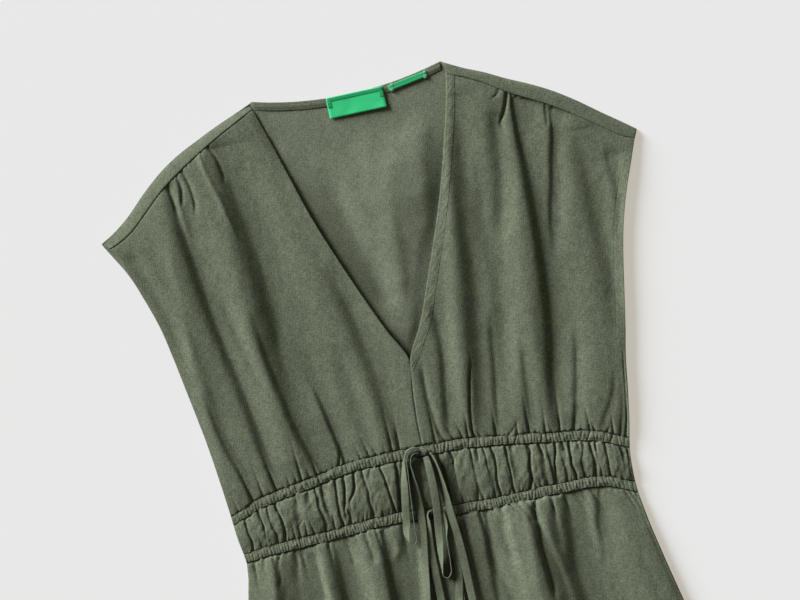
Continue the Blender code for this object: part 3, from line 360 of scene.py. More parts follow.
# Creases of the waist inset, between the two casings.
WAIST_FOLDS = table_of(Fold,
    (3, 0.9, 0.9, 0.8, 0.9, 0.4, ((388, -181.8), (400, -180.7), (408, -178.8), (416, -179.9))),
    (4, 0.9, 0.9, 0.9, 0.4, 0.4, ((380, -168.1), (390, -165.9), (400, -165.1))),
    (-0.9, 1.6, 1.2, 0, 0.9, 0.5, ((402, -172.5), (408, -172.4), (414, -171.5))),
    (1.4, 0.9, 3.8, 0.5, 1, 0.4, ((378, -159), (388, -158.6), (398, -157.2), (406, -155),
     (414, -155.8))),
    (3.7, 0.9, 1.1, 0.9, 0.9, 0.4, ((374, -151), (381, -150.2), (388, -148.1), (395, -146.9),
     (401, -146.3), (408, -146.9), (414, -148.4))),
    (1.6, 4.5, 3.5, 0.6, 0.2, 0, ((376, -131), (390, -130.6), (402, -132.6))),
    (1.2, 1.2, 1.5, 0.2, 0.6, 0.3, ((396, -127.4), (399, -129.5), (402, -132.8))),
    (2.3, 0.9, 3, 0.7, 1, 0.4, ((371, -111), (378, -109.9), (388, -110.3), (398, -108.5),
     (405, -107), (414, -108.9))),
    (1.5, 3, 4, 0.5, 0.2, 0, ((372, -118.5), (380, -118), (390, -117))),
    (2.6, 2.4, 4.5, 0.3, 0.8, 0, ((368, -103.6), (376, -103.4), (386, -103.5), (396, -101.7))),
    (2.4, 0.9, 1.8, 0.9, 1, 0.4, ((366, -90.4), (376, -90.9), (386, -91.7), (394, -91.9),
     (400, -92.3), (406, -91.2), (413, -91.3))),
    (3.9, 1, 0.9, 0.9, 0.4, 0.2, ((364, -81.7), (374, -82), (384, -84), (391, -85.4),
     (396, -86.8))),
    (1.5, 0.9, 3.2, 0.8, 0.9, 0.4, ((398, -84), (403, -82.4), (408, -82.6), (414, -84.8))),
    (3.6, 0.9, 0.9, 0.9, 0.4, 0.2, ((364, -71.3), (370, -72.1), (377, -73), (383, -76),
     (389, -80.3))),
    (2, 1.8, 0.9, 0.8, 1, 0.4, ((363, -63.5), (374, -61.8), (384, -60.9), (394, -61.6),
     (403, -60.6), (409, -61.1))),
    (-0.4, 5, 3.1, 0.2, 0.7, 0, ((384, -64), (396, -64.6), (406, -64.1))),
    (3.2, 0.9, 0.9, 0.7, 0.9, 0.2, ((364, -46), (372, -43.8), (382, -42.7), (392, -41.5),
     (402, -40.8), (410, -39.8))),
    (3.6, 0.9, 3.2, 0.6, 1, 0.3, ((361, -30.6), (372, -31.1), (382, -32.2), (392, -33.1),
     (402, -34.3), (412, -36.5))),
    (2, 1.5, 3, 0.6, 0.3, 0, ((366, -25.6), (376, -27), (388, -29))),
    (4, 1.1, 0.9, 1, 1, 0.4, ((361, 10.2), (371, 11.5), (381, 12.4), (391, 13.2), (400, 13.4),
     (407, 13.4), (414, 14.6))),
    (3.5, 0.9, 0.9, 0.6, 0.6, 0.3, ((364, 22.3), (370, 24.6), (376, 23.4))),
    (2, 5, 1.2, 0.6, 0.7, 0, ((368, 22.8), (388, 23.2), (402, 22.5))),
    (1.2, 0.9, 3.3, 0.4, 1, 0.3, ((400, 23.8), (407, 25.5), (414, 24.6))),
    (0.6, 0.9, 2.8, 1, 0.9, 0.4, ((362, 41.7), (372, 41.7), (382, 41.3), (392, 41.1), (400, 41.7),
     (406, 41.1), (415, 38.8))),
    (0.6, 0.9, 1.5, 0.3, 0.9, 0.4, ((404, 42.7), (409, 44.2), (415, 45))),
    (1.6, 2.6, 0.9, 0.9, 0.4, 0.3, ((364, 47.8), (372, 47.8), (379, 47.4))),
    (1.2, 1, 0.9, 0.8, 0.1, 0.1, ((365, 53.3), (373, 54.7), (383, 54.7), (393, 55.6))),
    (1.4, 5, 7.1, 0.2, 0.5, 0, ((378, 57.2), (390, 58.2), (402, 58.6))),
    (-0.1, 0.9, 2, 0.1, 1, 0.4, ((400, 57.1), (407, 56.7), (415, 56))),
    (2.9, 1, 0.9, 1, 0.8, 0.4, ((366, 60.5), (374, 62.9), (382, 62.9), (390, 62), (398, 60.9),
     (405, 60.8), (414, 61.8))),
    (2.3, 0.9, 0.9, 0.6, 1, 0.2, ((369, 74.9), (377, 74.6), (387, 74.6), (396, 74.8), (403, 74.7),
     (409, 73.9), (415, 75))),
    (2, 3.4, 6, 0.5, 0.5, 0, ((368, 80), (382, 80.1), (396, 80.8))),
    (4, 0.9, 1.7, 0.9, 1, 0.3, ((371, 95.2), (379, 96.9), (386, 94.8), (393, 93.3), (400, 93),
     (406, 92.7), (410, 90.9), (415, 88.8))),
    (3.4, 1.5, 0.9, 1, 0.3, 0.4, ((373, 106.3), (379, 107.6), (384, 108.5), (388, 108.8))),
    (1.4, 2.5, 4.1, 0.5, 0.7, 0.1, ((388, 107), (396, 106.6), (405, 106.3), (414, 107.5))),
    (2.1, 0.9, 6.9, 0.5, 1, 0.4, ((384, 113), (391, 113.5), (400, 113.7), (408, 114.4),
     (415, 114))),
    (3.4, 0.9, 0.9, 0.9, 1, 0.4, ((374, 121.4), (380, 121.4), (386, 120.1), (394, 117.9),
     (401, 117.2), (408, 116.2), (415, 117))),
    (2.4, 2.9, 1.2, 0.9, 0.5, 0.3, ((376, 128), (381, 129.6), (386, 129.7))),
    (1.2, 1.4, 3.6, 0.9, 1, 0.3, ((392, 125.6), (400, 126.7), (408, 127.2), (416, 125.5))),
    (3.2, 0.9, 1.4, 0.9, 0.9, 0.4, ((377, 134.6), (385, 133.8), (393, 133.7), (400, 133),
     (405, 134.2), (410, 135.3), (415, 134.3))),
    (1.1, 0.9, 4, 0.7, 1, 0.2, ((384, 146.8), (391, 145.5), (399, 142.4), (407, 142.7),
     (416, 142.8))),
    (2.1, 0.9, 1.8, 1, 0.9, 0.4, ((380, 153.6), (388, 153.7), (396, 154.8), (402, 155.1),
     (408, 154.2), (416, 153.4))),
    (2.2, 0.9, 1.2, 0.8, 0.4, 0.2, ((382, 159.3), (388, 158.6), (393, 158.7))),
    (1.1, 0.9, 0.9, 0.9, 0.9, 0.3, ((385, 168.1), (392, 167.5), (400, 167.9), (409, 167.5),
     (418, 167))),
    (3.2, 0.9, 5.5, 0.9, 0.6, 0.1, ((390, 180.6), (396, 182.1), (402, 182.1))),
    (-0.7, 5.5, 1.9, 0, 0.5, 0, ((396, 177.1), (406, 174.5), (416, 172.8))),
    (2.3, 0.9, 1.2, 0.9, 0.3, 0.3, ((386, 187.2), (393, 188.2), (402, 188.3), (412, 188))))

# How deep and how wide the cloth is drawn down beside each gathered seam, with its noise.
Trench = namedtuple("Trench", "depth reach seed")
TRENCHES = {
    "above_upper": Trench(2.4, 1.1, 201),
    "below_upper": Trench(3.2, 1.7, 202),
    "above_lower": Trench(1.8, 1.0, 203),
    "below_lower": Trench(3.6, 1.8, 204),
}

# Tucks that the gathering draws into the cloth beside a seam: their x at the seam, how much they
# lean towards +X, how far they reach, their depth and their half width.
Tuck = namedtuple("Tuck", "x lean reach depth width")
TUCKS = {
    "below_yoke": table_of(Tuck,
        (-187, 0.15, 6, 1.2, 1), (-179.5, 0.2, 3, 1.4, 1), (-176, 0.2, 5, 1.4, 1),
        (-172.5, 0.2, 3, 1.4, 0.9), (-170.5, 0.3, 6, 1.6, 1.1), (-165.5, 0.4, 4, 1.4, 1),
        (-160.3, 0.15, 6, 1.6, 1), (-157, 0.2, 3, 1.2, 0.9), (-154, 0.2, 3, 1, 0.9),
        (-148.8, 0.1, 8, 1.8, 1), (-142, 0.6, 6, 1.4, 1.1), (141, -0.8, 4, 1.2, 1),
        (147.5, -0.3, 6, 1.6, 1.1), (151.5, -0.2, 6, 1.6, 1.2), (157, -0.9, 4, 1.2, 1.1),
        (163, -1, 3, 1.4, 1), (165, -0.2, 6, 1.2, 1.2), (170, -0.3, 2.5, 1, 0.9),
        (174, -0.5, 2.5, 1.2, 0.9), (177.5, -0.5, 2.5, 1.2, 0.9), (181, -0.2, 5, 1.4, 1.1),
        (187.5, -0.3, 6, 1.6, 1.2)),
    "above_upper": table_of(Tuck,
        (-185.5, -0.2, 12, 1, 1), (-170, -0.2, 20, 3.2, 1.5), (-159.5, -0.13, 16, 2.4, 1.2),
        (-152.5, -0.1, 4, 1.4, 1), (-146, -0.16, 24, 3.2, 1.2), (-139, 0, 4, 1, 1),
        (-132.8, -0.1, 9, 1.5, 1.2), (-126, -0.1, 6, 2.2, 1), (-120.6, -0.05, 20, 3, 1.3),
        (-112.6, -0.15, 7, 2.4, 1.2), (-105.3, -0.15, 14, 2.6, 1.1), (-89, 0, 3, 1.2, 1),
        (-83.3, 0.25, 12, 2.8, 1.2), (-77, -0.12, 12, 2.8, 1.2), (-73, 0, 3, 0.8, 1),
        (-61.3, -0.25, 10, 1.8, 1.1), (-53, -0.2, 12, 2.2, 1.2), (-46.3, -0.25, 9, 1.6, 1),
        (-38, 0, 4, 1, 1), (-31, 0, 22, 2.8, 1.2), (-24.2, 0.05, 18, 3, 1.4), (11, 0, 20, 2.8, 1.2),
        (20.5, -0.4, 10, 2.4, 1.1), (29, -0.35, 9, 2.2, 1.1), (37.7, -0.25, 12, 2.4, 1.1),
        (42.5, 0.03, 14, 2.6, 1.1), (49.2, -0.28, 12, 2.6, 1.1), (54.5, -0.45, 8, 1.8, 1.1),
        (61, 0, 4, 1.2, 1), (69, 0.03, 16, 2.8, 1.2), (80, 0.9, 9, 1.4, 1.5),
        (88.5, 0.12, 9, 2.6, 1.2), (95, 0.1, 5, 1.2, 1), (100.2, 0.03, 20, 3, 1.4),
        (106.5, 0.1, 4, 1.4, 1), (115, 0.1, 15, 2.6, 1.2), (122, -0.25, 6, 1.6, 1.1),
        (129, 0.1, 24, 3, 1.1), (134.5, 0.1, 4, 1, 1), (142, 0.25, 16, 2.2, 1.8),
        (149, 0.2, 4, 1.4, 1), (157, 0, 14, 2.4, 1.1), (161.5, -0.2, 7, 2.8, 1.2),
        (172, 0.5, 6, 1.6, 1.4), (178, 0.08, 12, 2.6, 1.2), (184, 0.25, 14, 1.6, 1.6),
        (188.5, 0.25, 24, 2.4, 1.3)),
    "below_upper": table_of(Tuck,
        (-188, 0, 4, 1.2, 1), (-181.5, 0.05, 8, 2.2, 1.3), (-176, 0, 5, 1.8, 1.1),
        (-168.3, 0.05, 12, 2.8, 1.3), (-163, 0, 3, 1.2, 1), (-158.3, -0.1, 6, 2.6, 1.3),
        (-150.8, 0.1, 8, 2.4, 1.3), (-145, 0, 3, 1.2, 1), (-139.5, 0, 4, 1.4, 1),
        (-135, 0, 3, 1.2, 1), (-130.4, 0.1, 9, 2.8, 1.3), (-123, 0, 3, 1.2, 1.4),
        (-118, 0.1, 9, 2, 1.5), (-111.5, 0.2, 6, 2.4, 1.3), (-104, -0.03, 12, 2.8, 1.2),
        (-97.5, -0.1, 5, 2, 1.2), (-90, -0.1, 6, 2.4, 1.3), (-82.6, -0.05, 10, 2.6, 1.3),
        (-78, 0, 3, 1.2, 1), (-71.6, -0.1, 14, 2.6, 1.2), (-63, 0, 10, 2.2, 1.1),
        (-60, 0, 3, 1.2, 1), (-54, -0.4, 6, 2.2, 1.3), (-46, 0.1, 8, 2, 1.4), (-41, 0, 3, 1.2, 1.2),
        (-30.6, 0, 14, 2.8, 1.2), (-24.3, -0.1, 10, 2.4, 1.2), (10.6, 0, 12, 2.8, 1.2),
        (16, 0.1, 4, 1.4, 1), (21, 0.3, 8, 2.6, 1.2), (29, 0.4, 4, 1.8, 1.1),
        (35.3, 0.7, 6, 2.4, 1.1), (41.8, 0, 14, 2.8, 1.2), (47.5, 0.05, 8, 2.2, 1.2),
        (53, 0.25, 9, 2, 1.2), (57.5, 0, 3, 1, 1), (61, 0.1, 14, 2.8, 1.2),
        (64.5, 0.15, 5, 1.8, 1.1), (67.5, 0, 3, 1.4, 1), (74.3, 0.1, 9, 2.4, 1.3),
        (79.3, 0.2, 7, 2.8, 1.3), (84, 0.4, 4, 1.6, 1.1), (95, 0, 14, 3, 1.5),
        (98.5, 0, 4, 1.4, 1.1), (106.3, 0.1, 11, 2.8, 1.3), (110, 0.1, 3, 1.2, 1),
        (114, 0, 6, 1.8, 1.1), (121.5, -0.05, 12, 2.6, 1.2), (128, 0.25, 7, 2.6, 1.2),
        (134.8, -0.1, 14, 2.8, 1.3), (142.3, 0.15, 8, 2.2, 1.2), (147, 0.2, 6, 1.8, 1.2),
        (154, 0.02, 14, 2.8, 1.3), (159.5, -0.05, 5, 2, 1.2), (168, 0, 12, 2.6, 1.4),
        (173, 0.2, 4, 1.4, 1), (180.5, 0.2, 9, 2.2, 1.3), (187.5, 0.05, 12, 2.6, 1.2)),
    "above_lower": table_of(Tuck,
        (-185, 0, 5, 1.2, 1), (-180, 0.05, 12, 2.4, 1.4), (-171.3, -0.1, 10, 2.2, 1.2),
        (-166, 0, 4, 1, 1), (-161, 0, 3, 1, 1), (-155.3, 0.05, 10, 2.6, 1.2),
        (-148.3, 0.1, 10, 2.6, 1.3), (-144, 0, 4, 1.6, 1.1), (-138.4, 0, 11, 2.4, 1.2),
        (-132.8, -0.02, 9, 2.8, 1.2), (-126.8, 0.05, 10, 2.8, 1.2), (-118.8, -0.2, 11, 2.4, 1.2),
        (-113, 0, 3, 1.2, 1), (-108.6, 0.05, 12, 2.8, 1.3), (-104, 0, 3, 1.2, 1),
        (-99.3, 0, 10, 2.8, 1.3), (-91.2, -0.1, 12, 2.8, 1.3), (-84.3, 0.15, 10, 2.4, 1.3),
        (-79, -0.1, 4, 1.4, 1), (-76, 0.2, 4, 1.4, 1), (-71.5, 0.2, 6, 2, 1.2),
        (-68, 0.3, 5, 1.8, 1.1), (-64.5, 0.3, 5, 1.8, 1.1), (-61.5, 0.15, 9, 2.4, 1.2),
        (-57, 0, 3, 1, 1), (-52.5, 0.1, 5, 2, 1.2), (-49.5, 0.3, 3, 1.4, 1),
        (-47, 0.4, 4, 1.8, 1.1), (-43.5, 0.4, 4, 1.6, 1), (-39.4, -0.1, 10, 2.4, 1.3),
        (-36.3, 0.12, 14, 3, 1.6), (14.6, -0.1, 9, 2.6, 1.3), (18, 0.1, 3, 1.2, 1),
        (25, -0.1, 11, 2.4, 1.3), (28.5, 0.1, 4, 1.4, 1), (32, 0, 3, 1.2, 1),
        (39, 0.15, 12, 2.8, 1.3), (45, -0.25, 10, 2.4, 1.2), (50, 0.2, 4, 1.6, 1.1),
        (56, 0.05, 12, 2.2, 1.2), (61.8, -0.1, 10, 2.6, 1.3), (66, 0.1, 3, 1.2, 1),
        (70, 0.2, 5, 1.8, 1.1), (75, -0.12, 14, 2.6, 1.3), (80, 0.1, 5, 1.6, 1.1),
        (83, 0.1, 4, 1.6, 1), (89, 0.35, 12, 2.8, 1.5), (96, -0.1, 6, 2, 1.2),
        (100.5, 0, 6, 1.8, 1.1), (107, 0, 6, 2.2, 1.2), (114, 0, 12, 2.6, 1.3),
        (117, 0, 12, 2.6, 1.3), (121, -0.2, 4, 1.4, 1), (125.6, 0.08, 12, 2.8, 1.3),
        (130, 0.1, 4, 1.6, 1), (134.6, -0.02, 12, 2.6, 1.2), (139, 0, 3, 1.2, 1),
        (143, 0, 12, 2.2, 1.3), (148, 0.1, 4, 1.2, 1), (153.3, 0.08, 12, 2.8, 1.4),
        (159.3, 0, 8, 2.2, 1.2), (163, 0, 3, 1.2, 1), (167, 0, 12, 2.6, 1.4), (172, 0, 3, 1.2, 1),
        (178, 0, 4, 1.4, 1), (184, 0, 5, 1.6, 1.2), (187.8, 0, 10, 2.4, 1.2)),
    "below_lower": table_of(Tuck,
        (-181.8, 0, 16, 2.8, 1.3), (-176, 0, 4, 1.2, 1), (-171.5, -0.1, 8, 2.4, 1.3),
        (-167, 0, 3, 1.2, 1), (-163, 0.05, 12, 2, 1.4), (-155.8, -0.35, 10, 2.6, 1.3),
        (-149.5, 0, 4, 1.6, 1.3), (-142, 0.05, 14, 2.6, 1.2), (-135.4, 0.05, 14, 2.8, 1.5),
        (-130, 0.1, 4, 1.4, 1.1), (-122.3, 0.25, 9, 1.8, 1.1), (-116.5, 0, 4, 1.6, 1.1),
        (-109, 0.05, 14, 2.8, 1.3), (-103, 0, 5, 2, 1.8), (-97, 0, 3, 1.2, 1.1),
        (-91.6, 0.1, 20, 2.8, 1.2), (-84.3, 0.4, 12, 2, 1.1), (-78, 0, 3, 1, 1),
        (-72, 0.05, 14, 2, 1.1), (-67, 0.2, 8, 1.6, 1.1), (-62.8, 0.15, 16, 2.6, 1.3),
        (-54, -0.2, 8, 1.8, 2), (-49.5, 0, 4, 1.6, 1.2), (-43, 0, 3, 1.2, 1),
        (-36, -0.03, 20, 2.8, 1.3), (15.2, 0.1, 16, 2.6, 1.3), (19.3, 0.15, 16, 2.8, 1.8),
        (26, 0, 3, 1.2, 1), (31, 0, 3, 1.2, 1), (37.6, 0.08, 16, 2.8, 1.4), (41, 0.2, 5, 1.6, 1.1),
        (44.3, 0, 14, 2.4, 1.3), (50, 0.2, 4, 1.6, 1), (57.3, 0.3, 10, 2.6, 1.3),
        (62, 0, 3, 1.2, 1), (67.3, 0.75, 12, 2.6, 1.3), (75.5, 0.4, 8, 2, 1.2),
        (83, 0.5, 8, 2.2, 1.2), (93, -0.25, 16, 2.8, 1.3), (99, 0, 3, 1.2, 1.1),
        (107.7, 0, 20, 2.8, 1.5), (113, 0.1, 3, 1.2, 1), (120.4, 0.1, 14, 2.8, 1.4),
        (124, 0.2, 4, 1.4, 1), (128.6, 0.4, 14, 2, 1.2), (136, 0.35, 14, 1.6, 1),
        (143.8, 0.5, 12, 2.4, 1.4), (149, 0, 5, 2, 1.6), (155, -0.2, 8, 2.6, 1.3),
        (161, 0, 4, 1.6, 1.1), (166, 0.2, 4, 1.6, 1), (170.5, 0.2, 4, 1.6, 1),
        (176.3, 0.5, 12, 2.2, 1.2), (181, 0.55, 10, 2.4, 1.2), (186, 0.5, 6, 1.8, 1.1)),
}
TUCK_GAIN = {"above_upper": 1.3, "below_lower": 1.6}

# Puckers across the casings: x on the middle line, how much they lean towards +X on the way down,
# and their depth.
PUCKERS = {
    "upper": [
        (-189.5, 0, 0.8), (-186, 0.2, 1.2), (-183.5, 0.1, 1), (-180, 0.1, 1.6), (-177, 0.1, 1.2),
        (-174, 0.3, 1.7), (-171, 0, 1), (-168.5, 0.1, 1.2), (-165.5, 0, 1), (-162, 0, 0.8),
        (-156.5, 0.1, 1.2), (-152.5, 0, 1.4), (-149.5, 0, 1), (-146.5, 0.1, 1.2), (-143, 0, 1),
        (-139.5, 0.2, 1.5), (-137, 0, 1.1), (-133, 0.35, 1.9), (-130.5, 0, 1), (-128, 0.1, 1.7),
        (-126.3, 0, 1.1), (-121, 0.3, 2.3), (-116, 0.35, 2.3), (-112.5, 0, 0.9), (-109.5, 0.1, 0.9),
        (-104.7, 0.2, 2.4), (-101, 0, 0.9), (-96, 0, 1.1), (-92.5, 0.1, 1.2), (-89, 0, 1),
        (-86.5, 0, 1), (-84, 0.1, 1), (-80.5, 0, 0.9), (-76.5, 0.1, 1.3), (-74, 0, 1),
        (-71.5, 0, 1.1), (-68.5, 0.1, 1.2), (-66, 0, 1.2), (-63.5, 0.1, 1.4), (-60.5, 0, 1.2),
        (-57.5, 0, 1.2), (-53.5, 0.1, 1.6), (-50.5, 0, 1.2), (-47.5, 0, 1.3), (-44.5, 0, 1.2),
        (-41.5, 0.1, 1.1), (-38.5, 0, 1.1), (-35, 0, 1.2), (-31, 0, 1.8), (-27.5, 0, 1.3),
        (-24, 0, 1.6), (-20, 0, 1), (-15, 0, 1), (-10, 0, 1), (-5, 0, 1), (2, 0, 1.1), (5, 0, 1.2),
        (9.5, 0, 2), (12.5, -0.1, 1.2), (15.5, -0.2, 1.2), (19, -0.3, 2.1), (22.5, -0.2, 1.2),
        (27, -0.1, 1.1), (31, 0, 1.2), (35.5, 0, 1.9), (38.5, 0, 1.2), (42, -0.25, 2.1),
        (46, -0.1, 1.2), (49.5, -0.2, 1.3), (52.5, 0, 1.1), (57, -0.1, 1), (60.5, -0.2, 1.2),
        (62.5, 0, 1.2), (65, -0.25, 2), (67.5, -0.1, 1.2), (71, 0, 1.8), (74, -0.1, 1.1),
        (79, -0.2, 2.1), (82, -0.1, 1.1), (86, -0.4, 2), (89.5, 0, 1), (94.5, 0, 1.3),
        (98, -0.1, 1.3), (101.5, -0.1, 1.2), (104, -0.3, 1.2), (106.5, 0, 1.2), (110.5, -0.3, 2),
        (115.5, 0, 2.1), (119, 0, 1.2), (121.5, 0, 1.3), (125, 0, 1.1), (128, 0.1, 1.9),
        (132, 0, 1.1), (135, 0.1, 1.1), (138, 0, 1.1), (141, 0, 1.2), (144.5, 0.3, 1.8),
        (148, -0.3, 1.7), (152, 0, 1), (154.8, -0.5, 2.5), (160, -0.1, 1.2), (163, -0.3, 1.4),
        (166, 0, 1.1), (169, -0.3, 1.2), (172, 0, 1), (175.3, -0.5, 2.2), (181, 0, 1.1),
        (184, 0, 1.1), (187, -0.3, 1.5)],
    "lower": [
        (-187, 0, 1.3), (-184, 0, 1.8), (-181, 0, 2.2), (-178.5, 0, 1.1), (-175.5, 0.25, 1.8),
        (-172, 0, 1.1), (-169.5, 0, 1.1), (-166.5, 0, 1.2), (-163, 0.1, 1.8), (-159.5, 0, 1.2),
        (-157, 0, 1.1), (-154.5, 0.2, 1.8), (-151.5, 0, 1.1), (-149, 0, 1.2), (-146, 0, 1.4),
        (-143, 0.15, 1.4), (-140.5, 0, 1.2), (-137.5, 0.1, 1.9), (-134.5, 0, 1.9), (-132.5, 0, 1.7),
        (-130, 0, 1), (-127, 0.1, 1.3), (-123.5, 0, 1.2), (-121, 0, 1.1), (-118, 0.25, 2.1),
        (-114.5, 0, 1), (-111.5, 0, 1), (-108.5, 0, 2.7), (-105, 0, 1.1), (-102.5, 0, 1.1),
        (-99.5, 0.05, 2), (-96, 0, 1.1), (-93, 0, 1.1), (-91, 0, 2.2), (-88, 0, 1), (-85, 0, 1.2),
        (-83, 0.2, 1.8), (-80, 0.2, 1.4), (-77.5, 0.1, 1.2), (-74.5, 0, 1.1), (-72, 0.1, 1.3),
        (-69.5, 0.3, 1.4), (-67, 0.3, 1.6), (-64.5, 0.3, 1.6), (-62, -0.2, 1.4), (-59, 0.3, 1.8),
        (-56, 0, 1.2), (-53, 0, 1.2), (-51.5, 0.2, 1.4), (-48.5, -0.3, 1.6), (-46, -0.3, 1.4),
        (-43.5, -0.2, 1.4), (-41.5, -0.3, 1.8), (-38.5, -0.3, 1.6), (-35.5, 0, 1.6), (-30, 0, 1.1),
        (-25, 0, 1.1), (-19, 0, 1.1), (-13, 0, 1.1), (-7, 0, 1.1), (6, 0, 1.1), (11, 0, 1.1),
        (15, 0, 2), (18.5, 0, 1.3), (21.5, 0, 1.2), (24, 0, 1.9), (27, 0, 1.1), (30, 0, 1.7),
        (33, 0, 1.1), (37, -0.3, 2.2), (40, -0.1, 1.2), (44, 0.2, 1.8), (47, 0, 1.1), (51, 0, 1.2),
        (54, 0, 1.3), (56, 0, 1.8), (58.5, 0.2, 1.4), (61.5, -0.1, 1.4), (64, 0, 1.1), (67, 0, 1.1),
        (70, 0.2, 1.5), (73, 0.2, 1.5), (75.5, 0.2, 1.8), (78.5, 0, 1.2), (82, 0.2, 1.7),
        (85, -0.2, 1.3), (88, 0, 1.1), (91, -0.3, 1.8), (94, -0.2, 1.4), (97, 0, 1.2),
        (99.5, 0, 1.2), (103.5, 0, 1.3), (106, 0, 1.3), (110, -0.2, 1.4), (112.5, 0, 1.2),
        (115, -0.2, 1.3), (118.5, 0.35, 2), (121, 0.2, 1.4), (124.5, 0, 1.9), (128, 0.2, 1.5),
        (131, 0, 1.2), (134, 0, 1.2), (137, -0.2, 1.3), (140, 0, 1.2), (143, 0.2, 1.4),
        (147, 0, 1.1), (150, 0, 1.1), (153, -0.2, 1.8), (155.5, 0.25, 1.8), (160, 0.2, 1.5),
        (163, 0, 1.2), (166, 0.2, 1.4), (170, 0.2, 1.4), (174, 0, 1.2), (178, 0, 1.4),
        (182, 0.1, 1.2), (186, 0, 1.4)],
}
PUCKER_WIDTH = 0.6
PUCKER_SHARE = 0.6
PUCKER_LIMIT = 1.6

